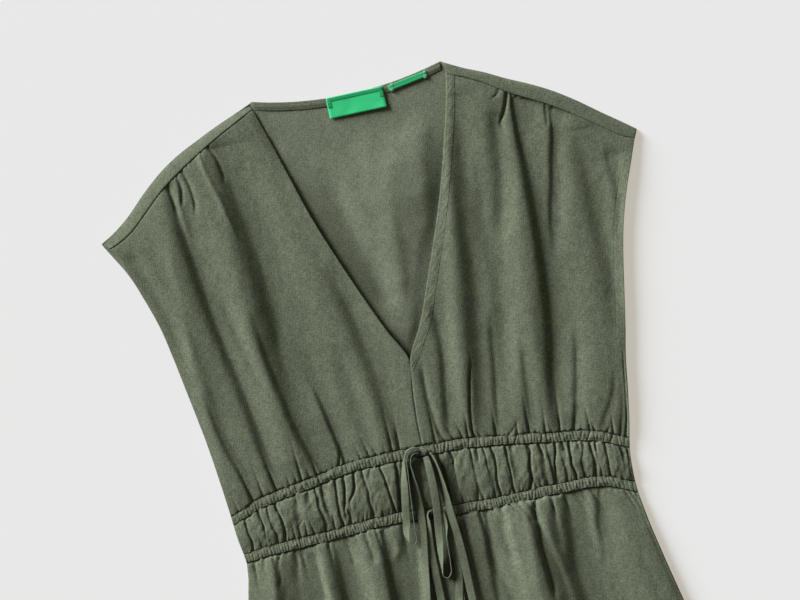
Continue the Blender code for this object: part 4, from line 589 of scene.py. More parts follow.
# Drawstring tapes, from the knot outwards: place, height of the tape's middle, and tilt in degrees,
# 0 or 180 where the tape lies flat and 90 where it stands on its edge.
Run = namedtuple("Run", "x down z tilt")
KNOTS = {
    "knot_upper": Run(-1.5, 358.0, 8.9, 0),
    "knot_lower": Run(-1.0, 416.6, 8.8, 0),
}
KNOT_SIZE = (8.0, 7.6, 5.2)
TAPES = {
    "loop_upper_left": table_of(Run,
        (-6.2, 354, 10.6, 84), (-10.5, 351.6, 10.9, 86), (-16.5, 353.2, 11.2, 86),
        (-21, 360, 11.2, 84), (-23.8, 371, 11.2, 60), (-26.4, 386, 10.8, 24), (-29.2, 403, 10, 4),
        (-31.8, 420, 10.2, 6), (-33.9, 432, 11.2, 48), (-32.6, 438.8, 11.8, 86),
        (-29.2, 441.2, 12, 90), (-26.1, 438.6, 12, 90), (-25.6, 430, 12, 90),
        (-24.7, 417, 11.6, 90), (-23.2, 402, 11.4, 90), (-21.7, 386, 11.4, 90),
        (-20.5, 372, 11.2, 90), (-18.5, 360.4, 11, 90), (-14.8, 355.4, 10.8, 88),
        (-10.2, 353.9, 10.6, 86), (-6.2, 356, 10.4, 84)),
    "tail_upper_left": table_of(Run,
        (-6.2, 358.2, 10.4, 84), (-10.2, 357, 10.6, 86), (-14, 358.8, 10.8, 86),
        (-16.3, 364.5, 11, 82), (-17.3, 375, 10.8, 62), (-16.9, 389, 9.6, 26), (-16.7, 403, 9.4, 6),
        (-16.8, 414, 10.6, 0), (-17.4, 423, 12.2, 0), (-18.6, 433, 13.4, 2), (-20.6, 446, 13.8, 8),
        (-23, 462, 13.6, 20), (-25.2, 479, 14.2, 32), (-28.2, 496, 14, 26), (-32, 520, 12.8, 10),
        (-35.5, 545, 12.2, 2), (-37, 566, 12, 0)),
    "loop_upper_right": table_of(Run,
        (-1.2, 362.4, 11.2, 10), (-0.4, 368, 12.2, 10), (0.2, 380, 13.2, 2), (0.1, 396, 14.4, -6),
        (-0.9, 412, 15.2, -8), (-2.8, 428, 15.4, -4), (-4.8, 444, 15.2, 24), (-6.8, 459, 14.8, 54),
        (-8.2, 469.5, 14.2, 80), (-7.9, 476.4, 14.2, 90), (-4.6, 478.6, 14.2, 90),
        (-1, 475.4, 14.2, 90), (0.8, 466, 14.2, 90), (1.6, 452, 14.2, 90), (2, 440, 13.9, 100),
        (2.8, 431, 13.3, 138), (2.4, 422, 13.2, 168), (1.4, 412, 13.1, 180), (0.9, 400, 12.4, 180),
        (0.8, 386, 10.6, 180), (0.4, 373, 9.2, 180), (-0.4, 362.6, 8.6, 180)),
    "tail_upper_right": table_of(Run,
        (3.5, 359.6, 10.4, 70), (5.8, 364, 10.8, 72), (7.8, 374, 10.8, 68), (9.2, 388, 10.4, 52),
        (9.8, 402, 11.2, 30), (10.8, 418, 12.8, 10), (12.2, 434, 13.6, 0), (13.4, 452, 14.2, 0),
        (13.9, 470, 14.6, 0), (13.8, 488, 14.6, 4), (14, 505, 14.2, 10), (15.5, 527, 13, 6),
        (17, 552, 12.2, 0), (17.5, 578, 12, 0)),
    "loop_lower_left": table_of(Run,
        (-5.6, 414.6, 10.2, 82), (-8.4, 413.6, 10.6, 86), (-11, 416.4, 10.8, 80),
        (-12, 423, 11.2, 44), (-13.4, 433, 11.8, 8), (-14.6, 446, 12, 0), (-15, 462, 12.7, 0),
        (-15, 480, 13.1, 0), (-15.2, 500, 13.2, 4), (-16.4, 515, 14.4, 40), (-17, 525, 14.8, 84),
        (-14.6, 529.6, 14.8, 90), (-11.9, 526, 14.6, 96), (-11.9, 516, 13, 140),
        (-13.2, 503, 11.9, 176), (-14.4, 485, 11.7, 180), (-14.6, 465, 11.3, 180),
        (-13.2, 447, 10.4, 180), (-9.6, 436, 9.6, 180), (-5.8, 426, 9.3, 180),
        (-3.9, 421.2, 9.2, 180)),
    "tail_lower_left": table_of(Run,
        (-3.4, 421.2, 7.8, 0), (-8.4, 430, 8, 0), (-14.6, 441, 8.7, 0), (-20.2, 455, 9.6, 0),
        (-23.8, 471, 10.1, 0), (-26.4, 489, 10.3, 0), (-28.2, 511, 10.3, 0), (-29.2, 535, 10.3, 0),
        (-29.6, 556, 10.3, 0)),
    "loop_lower_right": table_of(Run,
        (6.6, 417, 10, 0), (6.9, 422, 10.6, 0), (7, 432, 11.5, 4), (7.2, 446, 12.1, 2),
        (7.2, 460, 12.7, 2), (6.8, 474, 13.1, 6), (4.8, 487, 13.1, 4), (1.8, 500, 13.3, 8),
        (-1.2, 511, 14.8, 46), (-3.6, 518.6, 15.2, 84), (-3.2, 523.4, 15.2, 90), (0, 524.2, 15, 92),
        (2, 519, 14, 115), (2.8, 509, 12.9, 150), (4.2, 495, 11.9, 176), (6.4, 480, 11.7, 180),
        (7.2, 464, 11.4, 180), (7, 447, 10.7, 180), (5.8, 435, 9.8, 180), (3.4, 426, 9.3, 180),
        (2.5, 421.2, 9.2, 180)),
    "tail_lower_right": table_of(Run,
        (2.9, 421.2, 7.7, 0), (6, 428, 7.8, 0), (11, 438, 8.5, 0), (14.8, 450, 9.2, 0),
        (16.8, 465, 10, 0), (17.6, 482, 10.3, 0), (19.2, 502, 10.3, 0), (22, 526, 10.3, 0),
        (24.4, 550, 10.3, 0), (25.4, 572, 10.3, 0)),
}
KNOT_SQUEEZE = 0.72
KNOT_SQUEEZE_REACH = 8.0

Label = namedtuple("Label", "x down width height turn")
LABELS = {
    "label_neck": Label(5.6, 20.0, 55.0, 20.0, 0.0),
    "label_fabric": Label(57.7, 10.2, 39.0, 5.6, 9.5),
}

# Darker strips of the neck label: width, height, and the place of each on the label.
LABEL_STRIPS = [
    (53.6, 3.2, 0.0, 7.7),
    (3.2, 6.0, -25.2, 3.2),
    (3.2, 6.0, 25.2, 3.2),
]

# The camera looks straight down on this place, turned about it, at this width of the scene.
VIEW_X = 6.6
VIEW_DOWN = 212.3
VIEW_TURN = -12.2
VIEW_WIDTH = 760.0
VIEW_LENS = 100.0
VIEW_SENSOR = 36.0
VIEW_LEVEL = 5.0

# The light: its share of what a flat cloth sends back, where it comes from, and how wide it is.
KEY_SHARE = 0.87
KEY_AZIMUTH = 136.0
KEY_ELEVATION = 20.0
KEY_SPREAD = 30.0
KEY_COLOUR = (0.985, 1.0, 1.015)
KEY_AWAY = 2.4
FILL_SHARE = 0.15
FILL_COLOUR = (1.05, 1.0, 0.80, 1)

FLOOR_HALF = 4.0
FLOOR_LEVEL = -0.0003
FLOOR_COLOUR = (0.317, 0.349, 0.411, 1)
FLOOR_GLOW = (1.073, 1.0, 0.866, 1)
FLOOR_GLOW_SHARE = 0.45


# ---------------------------------------------------------------- reading the tables

def curve(at, knots, values):
    """A smooth curve through (knots, values), read at one place or at many."""
    at = np.clip(np.asarray(at, dtype=float), knots[0], knots[-1])
    knots = np.asarray(knots, dtype=float)
    values = np.asarray(values, dtype=float)
    slopes = np.gradient(values, knots)
    i = np.clip(np.searchsorted(knots, at) - 1, 0, len(knots) - 2)
    step = knots[i + 1] - knots[i]
    t = (at - knots[i]) / step
    start = (1 + 2 * t) * (1 - t) ** 2 * values[i] + t * (1 - t) ** 2 * step * slopes[i]
    end = t * t * (3 - 2 * t) * values[i + 1] + t * t * (t - 1) * step * slopes[i + 1]
    return start + end


def read(table, column, at):
    """A column of a table against its first column, on a smooth curve."""
    return curve(at, [row[0] for row in table], [getattr(row, column) for row in table])


def between(start, end, t):
    """The value at a share t of the way from start to end."""
    return start + (end - start) * t


def noise(x, y, seed):
    """Smooth noise from -1 to 1, on cells of one unit."""
    cells = 61
    table = np.random.default_rng(seed).uniform(-1, 1, (cells, cells))
    x, y = np.broadcast_arrays(np.asarray(x, dtype=float), np.asarray(y, dtype=float))
    i = np.floor(x).astype(int)
    j = np.floor(y).astype(int)
    s = x - i
    t = y - j
    s = s * s * (3 - 2 * s)
    t = t * t * (3 - 2 * t)
    low = between(table[i % cells, j % cells], table[(i + 1) % cells, j % cells], s)
    high = between(table[i % cells, (j + 1) % cells], table[(i + 1) % cells, (j + 1) % cells], s)
    return between(low, high, t)


def body_half(down, sign):
    """Half width of the body at a level, on the +X (sign 1) or -X (sign -1) side."""
    return read(SIDE, "left" if sign > 0 else "right", down)


def shoulder_line(x, line):
    """The "down" of the shoulder's top or seam line above any x."""
    x = np.asarray(x, dtype=float)
    plus = read(SHOULDER, line + "_left", np.abs(x))
    minus = read(SHOULDER, line + "_right", np.abs(x))
    return np.where(x > 0, plus, minus)


def back_top(x):
    """Top edge of the back: its neckline, and the shoulder line outside the neck points."""
    neckline = NECK_DIP - (NECK_DIP + NECK_POINT_RISE) * (np.asarray(x) / NECK_HALF) ** 2
    inside = np.abs(x) < (NECK_HALF + SHOULDER[0].x) / 2
    return np.where(inside, neckline, shoulder_line(x, "top"))


def casing_edge(x, which, side):
    """A casing's seam line, drawn in here and there by its gathers. side is -1 on top, 1 below."""
    stray = 0.45 * noise(x / 2.7, side * 7.0, 21) + 0.5 * noise(x / 17.0, side * 5.0, 22)
    return read(CASINGS, which, x) + side * CASING_WIDTH / 2 + stray


upper_top = partial(casing_edge, which="upper", side=-1)
upper_foot = partial(casing_edge, which="upper", side=1)
lower_top = partial(casing_edge, which="lower", side=-1)
lower_foot = partial(casing_edge, which="lower", side=1)


def hem_line(x):
    """The hem, lowest at the centre."""
    return HEM_DOWN - HEM_RISE * (np.asarray(x) / SIDE[-1].left) ** 2


def inner_edge(down, sign):
    """The V edge and centre front seam of one front."""
    return read(FRONT_EDGE, "left" if sign > 0 else "right", down) + sign * SEAM_HALF


def side_distance(x, down):
    """How far a place is from the nearer side edge."""
    return np.minimum(body_half(down, 1) - x, body_half(down, -1) + x)


# ---------------------------------------------------------------- heights

def soft(distance, reach):
    """0 at an edge, rising to 1 within a few reaches of it."""
    return 1 - np.exp(-np.maximum(distance, 0) / reach)


def grown(rise, distance):
    """The share of the loft at a distance from an edge."""
    return rise.share + (1 - rise.share) * soft(distance, rise.reach)


def dip(distance, reach):
    """1 at a seam, fading to 0 within a few reaches of it."""
    return np.exp(-np.maximum(distance, 0) / reach)


def hump(at, middle, half):
    """1 at a place, fading softly to 0 on both sides of it."""
    return np.exp(-((at - middle) / half) ** 2)


def valley(away, minus, plus, sharp):
    """The cross section of a fold: 1 on its middle line, and 0 away from it."""
    share = np.abs(away) / np.where(away < 0, minus, plus)
    return between(np.exp(-share ** 2), np.exp(-SHARP_FADE * share), sharp)


def fold_depth(fold, x, down):
    """How far one fold presses the cloth down at a place."""
    downs = [point[0] for point in fold.path]
    middle = curve(down, downs, [point[1] for point in fold.path])
    t = np.clip((down - downs[0]) / (downs[-1] - downs[0]), 0, 1)
    growing = fold.head + FOLD_GROWTH * t
    ending = fold.foot + FOLD_GROWTH * (1 - t)
    strength = np.minimum(1, np.minimum(growing, ending))
    outside = np.maximum(np.maximum(downs[0] - down, down - downs[-1]), 0)
    depth = fold.depth * strength * np.exp(-outside / FOLD_FADE)
    return depth * valley(x - middle, fold.minus, fold.plus, fold.sharp)


def tuck_depth(tuck, x, away):
    """How far one tuck draws the cloth down, at a distance from its seam."""
    aside = np.abs(x - tuck.x - tuck.lean * away)
    return tuck.depth * np.exp(-SHARP_FADE * aside / tuck.width - (away / tuck.reach) ** 1.5)


def tucked(line, x, away):
    """How far the tucks beside a seam draw the cloth down."""
    away = np.maximum(away, 0)
    return TUCK_GAIN.get(line, 1) * sum(tuck_depth(tuck, x, away) for tuck in TUCKS[line])


def crumple(x, down, seed):
    """Small soft unevenness of washed linen, in millimetres."""
    broad = 0.16 * noise(x / 24, down / 55, seed)
    turned = 0.12 * noise((0.9 * x + 0.4 * down) / 13, (0.9 * down - 0.4 * x) / 19, seed + 1)
    small = 0.12 * noise((0.8 * x - 0.6 * down) / 6, (0.8 * down + 0.6 * x) / 7, seed + 2)
    streaks = 0.08 * noise(x / 4.3 + down / 60, down / 55, seed + 3)
    streaks = streaks + 0.035 * noise(x / 2.3 - down / 90, down / 38, seed + 4)
    return broad + turned + small + streaks


def hanging_waves(x, down, seed):
    """Long shallow waves that run down the cloth and follow its width."""
    across = x / body_half(down, 1) * 200
    return 0.3 * noise(across / 17, down / 150, seed) + 0.2 * noise(across / 9, down / 90, seed + 1)


def pressed(loft, rise, folds):
    """The top of a front from its loft, its rise from the edges and the depth of its folds."""
    top = EDGE_TOP + (loft - EDGE_TOP) * rise
    floor = between(EDGE_TOP, LOWEST_TOP, rise)
    return floor + YIELD * np.logaddexp(0, (top - folds - floor) / YIELD)


def hemmed(distance, along, width, seed):
    """The step and the puckered stitch line of a turned hem, at a distance from its edge."""
    step = HEM_STEP / (1 + np.exp(np.clip((distance - width) / HEM_STEP_REACH, -50, 50)))
    pucker = 0.6 + 0.4 * noise(along / 2.6, 0, seed)
    drawn = 0.12 * noise(along / 3.4, distance / 9, seed + 1) * hump(distance, width / 2, width / 2)
    stitched = hump(distance - width, -HEM_STITCH, HEM_STITCH_HALF)
    return step - HEM_STITCH_DEPTH * pucker * stitched + drawn


def seam_trench(line, distance, x):
    """How far the cloth is drawn down beside a gathered seam, more here and less there."""
    trench = TRENCHES[line]
    ragged = np.clip(0.8 + 0.9 * noise(x / 2.4, 0, trench.seed), 0.1, 1.7)
    return trench.depth * ragged * hump(np.maximum(distance, 0), 0, trench.reach)


def side_seam_line(x, down):
    """The line that the side seam draws just inside the wearer's left edge."""
    from_edge = body_half(down, 1) - x
    line = SEAM_LINE_DEPTH * hump(from_edge, SEAM_LINE_PLACE, SEAM_LINE_HALF)
    return line * soft(down - SEAM_LINE_TOP, 12) * (down < SEAM_LINE_FOOT)


def side_rise(x, down):
    """The rise from the two side edges."""
    from_left = np.maximum(body_half(down, 1) - x, 0)
    from_right = np.maximum(body_half(down, -1) + x, 0)
    return grown(SIDE_RISE[1], from_left) * grown(SIDE_RISE[-1], from_right)


def v_rise(from_v, down, sign):
    """The rise from the V edge. Below the V the two fronts are one, so nothing is lower there."""
    edge = Rise(read(V_EDGES, "left" if sign > 0 else "right", down), V_EDGE_REACH[sign])
    rise = grown(edge, from_v + V_EDGE_LEAD)
    return rise + (1 - rise) * soft(down - V_FOOT + V_CLOSING, V_CLOSING)


def bodice_rise(x, down, sign):
    """The share of its loft that a front has at a place, before its folds."""
    rise = side_rise(x, down)
    rise = rise * grown(YOKE_SEAM_RISE, down - shoulder_line(x, "seam"))
    rise = rise * grown(BODICE_FOOT_RISE, upper_top(x) - down)
    return rise * v_rise(sign * (x - inner_edge(down, sign)), down, sign)


def bodice_form(x, down, sign):
    """Top of a bodice front, with its folds and seams, before the tucks at its foot."""
    aside = side_distance(x, down)
    from_yoke = down - shoulder_line(x, "seam")
    from_v = sign * (x - inner_edge(down, sign))
    to_casing = upper_top(x) - down
    rise = bodice_rise(x, down, sign)
    folds = sum(fold_depth(fold, x, down) for fold in BODICE_FOLDS)
    folds = folds * soft(aside, FOLD_SIDE_REACH) * soft(from_yoke, 2.0)
    folds = folds * grown(FOLDS_AT_CASING, to_casing)
    top = pressed(BODICE_LOFT, rise, folds)
    top = top + (hanging_waves(x, down, 31) + crumple(x, down, 35)) * rise
    top = settled(top, seam_trench("above_upper", to_casing, x) + 1.6 * dip(from_yoke, 0.5))
    top = top - 0.7 * dip(from_v, 0.5) * soft(down - V_FOOT, 6)
    armhole = soft(ARMHOLE_FOOT - down, 12) * ARMHOLE_HEM_SHOWS[sign]
    return top + hemmed(aside, down, ARMHOLE_HEM, 41) * armhole - side_seam_line(x, down)


def settled(top, depth):
    """A top drawn down by tucks, but no further than the cloth under it lets it."""
    return np.maximum(top - depth, np.minimum(top, TUCKED_TOP))


def bodice_top(x, down, sign):
    """Top of a bodice front, with its folds, tucks and seams."""
    depth = tucked("above_upper", x, upper_top(x) - down)
    depth = depth + tucked("below_yoke", x, down - shoulder_line(x, "seam"))
    return settled(bodice_form(x, down, sign), depth)


def back_inside(x, down):
    """Top of the bodice back: flat, with soft folds where it shows in the neckline."""
    inside = np.minimum(inner_edge(down, 1) - x, x - inner_edge(down, -1))
    shows = soft(inside + 12, 14) * soft(down - back_top(x) - BINDING_WIDTH, 12)
    folds = sum(fold_depth(fold, x, down) for fold in BACK_FOLDS)
    top = BACK_TOP + shows * (0.7 - folds + 0.6 * crumple(x, down, 51))
    from_left = np.maximum(inner_edge(down, 1) - x, 0)
    from_right = x - inner_edge(down, -1)
    rolled = np.interp(down, *BACK_ROLLS) * (1 - hump(from_left, 0, BACK_ROLL_WIDTH))
    top = top + BACK_ROLL * rolled * soft(from_right, 6)
    width = np.where(from_right < 0, RIGHT_ROLL_UNDER, RIGHT_ROLL_WIDTH)
    top = top + RIGHT_ROLL * np.interp(down, *RIGHT_ROLLS) * hump(from_right, 0, width)
    high = np.clip((NECK_PUFF_FOOT - down) / 30, 0, 1) * dip(from_right - 2, 6)
    return np.maximum(top, BACK_TOP + NECK_PUFF * high * soft(inside - 0.4, 0.8))


def skirt_rise(x, down):
    """The share of its loft that the skirt has at a place, before its folds."""
    rise = side_rise(x, down) * grown(SKIRT_TOP_RISE, down - lower_foot(x))
    return rise * grown(HEM_RISE_IN, hem_line(x) - down)


def skirt_fold_depth(fold, x, down):
    """How far one long fold presses the skirt down: it opens out with the flare, to the hem."""
    seam = lower_foot(x)
    flare = np.maximum(body_half(down, 1) / body_half(SKIRT_FOLD_LEVEL, 1), 1)
    t = np.clip((down - seam) / (SKIRT_FOLD_LEVEL - seam), 0, 1)
    lower = np.clip((down - SKIRT_FOLD_LEVEL) / (HEM_DOWN - SKIRT_FOLD_LEVEL), 0, 1)
    middle = between(fold.seam_x, fold.low_x, t) * flare
    depth = fold.depth * (1 - (1 - HEM_FOLD_SHARE) * lower)
    return SKIRT_FOLD_GAIN * depth * valley(x - middle, fold.minus * flare, fold.plus * flare, 0)


def skirt_form(x, down):
    """Top of the skirt front, with its folds and seams, before the tucks at its head."""
    seam = lower_foot(x)
    rise = skirt_rise(x, down)
    folds = sum(skirt_fold_depth(fold, x, down) for fold in SKIRT_FOLDS)
    folds = folds + sum(fold_depth(fold, x, down) for fold in SKIRT_CREASES)
    top = pressed(SKIRT_LOFT, rise, folds * rise * grown(SKIRT_FOLDS_AT_CASING, down - seam))
    top = top + (hanging_waves(x, down, 61) + crumple(x, down, 65)) * rise
    top = settled(top, seam_trench("below_lower", down - seam, x))
    return top + hemmed(hem_line(x) - down, x, SKIRT_HEM, 71) - side_seam_line(x, down)


def skirt_top(x, down):
    """Top of the skirt front, with its folds, tucks and seams."""
    return settled(skirt_form(x, down), tucked("below_lower", x, down - lower_foot(x)))


def waist_form(x, down):
    """Top of the waist inset before its creases: it swells a little between the two casings."""
    rise = side_rise(x, down)
    from_upper = down - upper_foot(x)
    from_lower = lower_top(x) - down
    swell = 0.56 + 0.44 * np.sin(np.pi * np.clip(from_lower / (from_lower + from_upper), 0, 1))
    top = EDGE_TOP + (WAIST_LOFT - EDGE_TOP) * rise * swell
    uneven = 1.5 * crumple(x, down, 81) + 0.4 * noise(x / 4.2 + down / 11, down / 6.5, 141)
    top = top + uneven * rise + 0.14 * noise(x / 2.0, down / 2.8, 142) * rise
    top = settled(top, seam_trench("below_upper", from_upper, x) * rise)
    top = settled(top, seam_trench("above_lower", from_lower, x) * rise)
    return top - side_seam_line(x, down)


def waist_creases(x, down):
    """How far the creases and tucks of the waist inset draw it down."""
    depth = sum(fold_depth(fold, x, down) for fold in WAIST_FOLDS)
    depth = depth + tucked("below_upper", x, down - upper_foot(x))
    return depth + tucked("above_lower", x, lower_top(x) - down)


def waist_top(x, down):
    """Top of the waist inset."""
    return settled(waist_form(x, down), waist_creases(x, down) * side_rise(x, down))


def puckered(x, below, which):
    """How far the puckers of a casing draw it down, at a distance below its middle line."""
    return sum(depth * np.exp(-np.abs(x - middle - lean * below) / PUCKER_WIDTH)
               for middle, lean, depth in PUCKERS[which])


def casing_top(x, down, v, which):
    """Top of a casing: a padded band between two stitch lines, puckered all along."""
    rise = side_rise(x, down)
    arch = 0.84 + 0.16 * np.sin(np.pi * v) ** 0.6
    stitched = sum(hump(v, place, 0.05) for place in CASING_STITCHES)
    puckers = puckered(x, down - read(CASINGS, which, x), which)
    depth = np.minimum(PUCKER_SHARE * puckers, PUCKER_LIMIT) + 0.3 * stitched
    top = EDGE_TOP + (CASING_LOFT - EDGE_TOP) * arch * rise - depth * rise
    return top + (0.35 * noise(x / 9, down / 9, 91) + 0.4 * noise(x / 2.1, v * 2.4, 92)) * rise


# ---------------------------------------------------------------- meshes

def spaced(count, *marks):
    """0..1 in this many steps, closer together where a (place, weight) mark is heavier."""
    fine = np.linspace(0, 1, 2001)
    weight = np.interp(fine, [mark[0] for mark in marks], [mark[1] for mark in marks])
    total = np.concatenate(([0], np.cumsum((weight[1:] + weight[:-1]) / 2)))
    return np.interp(np.linspace(0, total[-1], count + 1), total, fine)


def patch(minus, plus, foot, head):
    """A shape between four edges, each a function of 0..1 that gives x and down."""
    corner = [[np.array(foot(u)) if v == 0 else np.array(head(u)) for v in (0, 1)]
              for u in (0, 1)]

    def place(u, v):
        sides = (1 - u) * np.array(minus(v)) + u * np.array(plus(v))
        ends = (1 - v) * np.array(foot(u)) + v * np.array(head(u))
        corners = sum(
            (u if i else 1 - u) * (v if j else 1 - v) * corner[i][j][:, None]
            for i in (0, 1) for j in (0, 1))
        return sides + ends - corners

    return place


def even(count):
    """0..1 in this many even steps."""
    return np.linspace(0, 1, count + 1)


def grid(us, vs, shape):
    """The places of a grid on us x vs, and its u and v."""
    u, v = np.meshgrid(us, vs)
    x, down = shape(u.ravel(), v.ravel())
    return x.reshape(u.shape), down.reshape(u.shape), u, v


def side_edge(sign, foot_down, head_down):
    """A body edge between two levels, from the lower one up."""
    def edge(v):
        down = between(foot_down, head_down, np.asarray(v, dtype=float))
        return sign * body_half(down, sign), down
    return edge


def line_edge(start_x, end_x, line):
    """An edge along a line that gives "down" for x."""
    def edge(u):
        x = between(start_x, end_x, np.asarray(u, dtype=float))
        return x, line(x)
    return edge


def meet_side(sign, line):
    """Where a line that crosses the body reaches its side edge."""
    down = WAIST_LEVEL
    for _ in range(12):
        down = float(line(sign * body_half(down, sign)))
    return sign * float(body_half(down, sign)), down


def band_patch(line_above, line_below):
    """A strip across the whole body between two lines, with its sides on the outline."""
    ends = {(sign, line): meet_side(sign, line) for sign in (-1, 1)
            for line in (line_above, line_below)}
    return patch(
        side_edge(-1, ends[-1, line_below][1], ends[-1, line_above][1]),
        side_edge(1, ends[1, line_below][1], ends[1, line_above][1]),
        line_edge(ends[-1, line_below][0], ends[1, line_below][0], line_below),
        line_edge(ends[-1, line_above][0], ends[1, line_above][0], line_above))


def shifted(line, amount):
    """A line moved this much towards the hem."""
    return lambda x: line(x) + amount


def world_points(x, down, z):
    """Table places as an array of points, in metres about the middle of the dress."""
    x, down, z = np.broadcast_arrays(x, down, z)
    return np.stack([x.ravel(), BODY_MIDDLE - down.ravel(), z.ravel()], axis=1) * MM


def placed(name, data):
    """A new object in the scene."""
    piece = bpy.data.objects.new(name, data)
    bpy.context.scene.collection.objects.link(piece)
    return piece


def make_mesh(name, points, faces, places, material):
    """A smooth mesh object, with its UV map in metres of cloth."""
    mesh = bpy.data.meshes.new(name)
    mesh.from_pydata(points.tolist(), [], faces if isinstance(faces, list) else faces.tolist())
    mesh.shade_smooth()
    corners = np.zeros(len(mesh.loops), dtype=np.int32)
    mesh.loops.foreach_get("vertex_index", corners)
    uv = mesh.uv_layers.new(name="cloth")
    uv.data.foreach_set("uv", np.asarray(places, dtype=np.float32)[corners].ravel())
    mesh.materials.append(material)
    return placed(name, mesh)


def quads(index):
    """The faces of a grid of point numbers, anticlockwise seen from above."""
    faces = np.stack([index[:-1, :-1], index[:-1, 1:], index[1:, 1:], index[1:, :-1]], axis=-1)
    return faces.reshape(-1, 4)


def closed_sides(x, down, top):
    """The underside of a front: a cloth below its top, and down to the back at the side seams."""
    under = top - CLOTH_WALL
    near = hump(np.maximum(side_distance(x, down), 0), 0, SEAM_TURN)
    near = near * np.clip((down - ARMHOLE_FOOT) / 10 + 0.5, 0, 1)
    return under - np.maximum(under - SEAM_FLOOR, 0) * near


def shell(name, x, down, top, bottom, material):
    """A closed piece of cloth between two grids of heights, with a rounded edge all round."""
    bottom = np.broadcast_to(bottom, top.shape)
    # A grid that runs towards -X is turned round, so that its upper faces look up.
    if x[0, -1] < x[0, 0]:
        x, down, top, bottom = (values[:, ::-1] for values in (x, down, top, bottom))
    count = x.size
    index = np.arange(count).reshape(x.shape)
    ring = np.concatenate([index[0, :-1], index[:-1, -1], index[-1, :0:-1], index[:0:-1, 0]])
    upper = world_points(x, down, top)
    lower = world_points(x, down, bottom)
    along = np.roll(upper[ring], -1, axis=0) - np.roll(upper[ring], 1, axis=0)
    outward = np.stack([along[:, 1], -along[:, 0], np.zeros(len(ring))], axis=1)
    outward /= np.linalg.norm(outward, axis=1)[:, None]
    wall = (upper[ring] - lower[ring])[:, 2:]
    reach = np.minimum(wall, EDGE_ROUND_WALL * MM) * EDGE_ROUND
    rims = [between(lower[ring], upper[ring], share) + outward * reach * bulge
            for share, bulge in RIM]
    rings = [ring + count]
    rings += [2 * count + i * len(ring) + np.arange(len(ring)) for i in range(len(RIM))]
    rings += [ring]
    around = [np.stack([low, np.roll(low, -1), np.roll(high, -1), high], axis=1)
              for low, high in zip(rings[:-1], rings[1:])]
    faces = np.concatenate([quads(index), quads(index + count)[:, ::-1]] + around)
    points = np.concatenate([upper, lower] + rims)
    return make_mesh(name, points, faces, points[:, :2], material)


# ---------------------------------------------------------------- materials

def shader_nodes(name):
    """A new material with its tree and its Principled shader."""
    material = bpy.data.materials.new(name)
    material.use_nodes = True
    tree = material.node_tree
    return material, tree, tree.nodes["Principled BSDF"]


def link(tree, source, target):
    """Joins two sockets."""
    tree.links.new(source, target)


def set_inputs(node, values):
    """Sets inputs of a node by their titles."""
    for title, value in values.items():
        node.inputs[title].default_value = value


def cloth_places(tree):
    """The piece's own UV map, in metres of cloth."""
    cloth = tree.nodes.new("ShaderNodeUVMap")
    cloth.uv_map = "cloth"
    return cloth.outputs["UV"]


def woven_relief(tree, shader, height, strength, distance):
    """Gives a shader bumps, from a height socket."""
    bump = tree.nodes.new("ShaderNodeBump")
    set_inputs(bump, {"Strength": strength, "Distance": distance})
    link(tree, height, bump.inputs["Height"])
    link(tree, bump.outputs["Normal"], shader.inputs["Normal"])


def math_node(tree, operation, first, second):
    """A Math node on two sockets or numbers, and its result."""
    node = tree.nodes.new("ShaderNodeMath")
    node.operation = operation
    for socket, value in zip(node.inputs, (first, second)):
        if isinstance(value, (int, float)):
            socket.default_value = value
        else:
            link(tree, value, socket)
    return node.outputs[0]


def noise_on(tree, coordinates, size_u, size_v, detail, roughness=0.5):
    """Noise with cells of this size, in metres, on the cloth's own UV map."""
    mapping = tree.nodes.new("ShaderNodeMapping")
    set_inputs(mapping, {"Scale": (1 / size_u, 1 / size_v, 1)})
    link(tree, coordinates, mapping.inputs["Vector"])
    texture = tree.nodes.new("ShaderNodeTexNoise")
    texture.noise_dimensions = "2D"
    set_inputs(texture, {"Scale": 1, "Detail": detail, "Roughness": roughness})
    link(tree, mapping.outputs["Vector"], texture.inputs["Vector"])
    return texture.outputs["Fac"]


def scaled(colour, share):
    """A colour made lighter or darker."""
    return tuple(channel * share for channel in colour)


def vary_colour(tree, shader, factor, colour, spread):
    """Colours a shader, from this much darker to this much lighter by a factor socket."""
    mix = tree.nodes.new("ShaderNodeMix")
    mix.data_type = "RGBA"
    mix.inputs["A"].default_value = (*scaled(colour, 1 - spread), 1)
    mix.inputs["B"].default_value = (*scaled(colour, 1 + spread), 1)
    link(tree, factor, mix.inputs["Factor"])
    link(tree, mix.outputs["Result"], shader.inputs["Base Color"])


def make_linen(name, colour, contrast, relief):
    """Slubby woven linen: uneven warp and weft threads, and a faint mottle from washing."""
    material, tree, shader = shader_nodes(name)
    uv = cloth_places(tree)
    warp = noise_on(tree, uv, YARN, YARN_RUN, 2.0, 0.75)
    weft = noise_on(tree, uv, YARN_RUN, YARN, 2.0, 0.75)
    grain = noise_on(tree, uv, GRAIN, GRAIN, 2.0, 0.8)
    mottle = noise_on(tree, uv, *MOTTLE, 4.0, 0.7)
    threads = math_node(tree, "ADD", warp, weft)
    woven = math_node(tree, "ADD", threads, grain)
    faint = math_node(tree, "MULTIPLY", mottle, MOTTLE_SHARE)
    tone = math_node(tree, "ADD", woven, faint)
    centred = math_node(tree, "SUBTRACT", tone, WOVEN_MIDDLE)
    strength = math_node(tree, "MULTIPLY", centred, contrast)
    factor = math_node(tree, "ADD", strength, 0.5)
    vary_colour(tree, shader, factor, colour, 0.28)
    woven_relief(tree, shader, woven, relief, 0.0002)
    set_inputs(shader, {"Roughness": 0.95, "Specular IOR Level": 0.12, "Sheen Weight": 0.04,
                        "Sheen Roughness": 0.6})
    return material


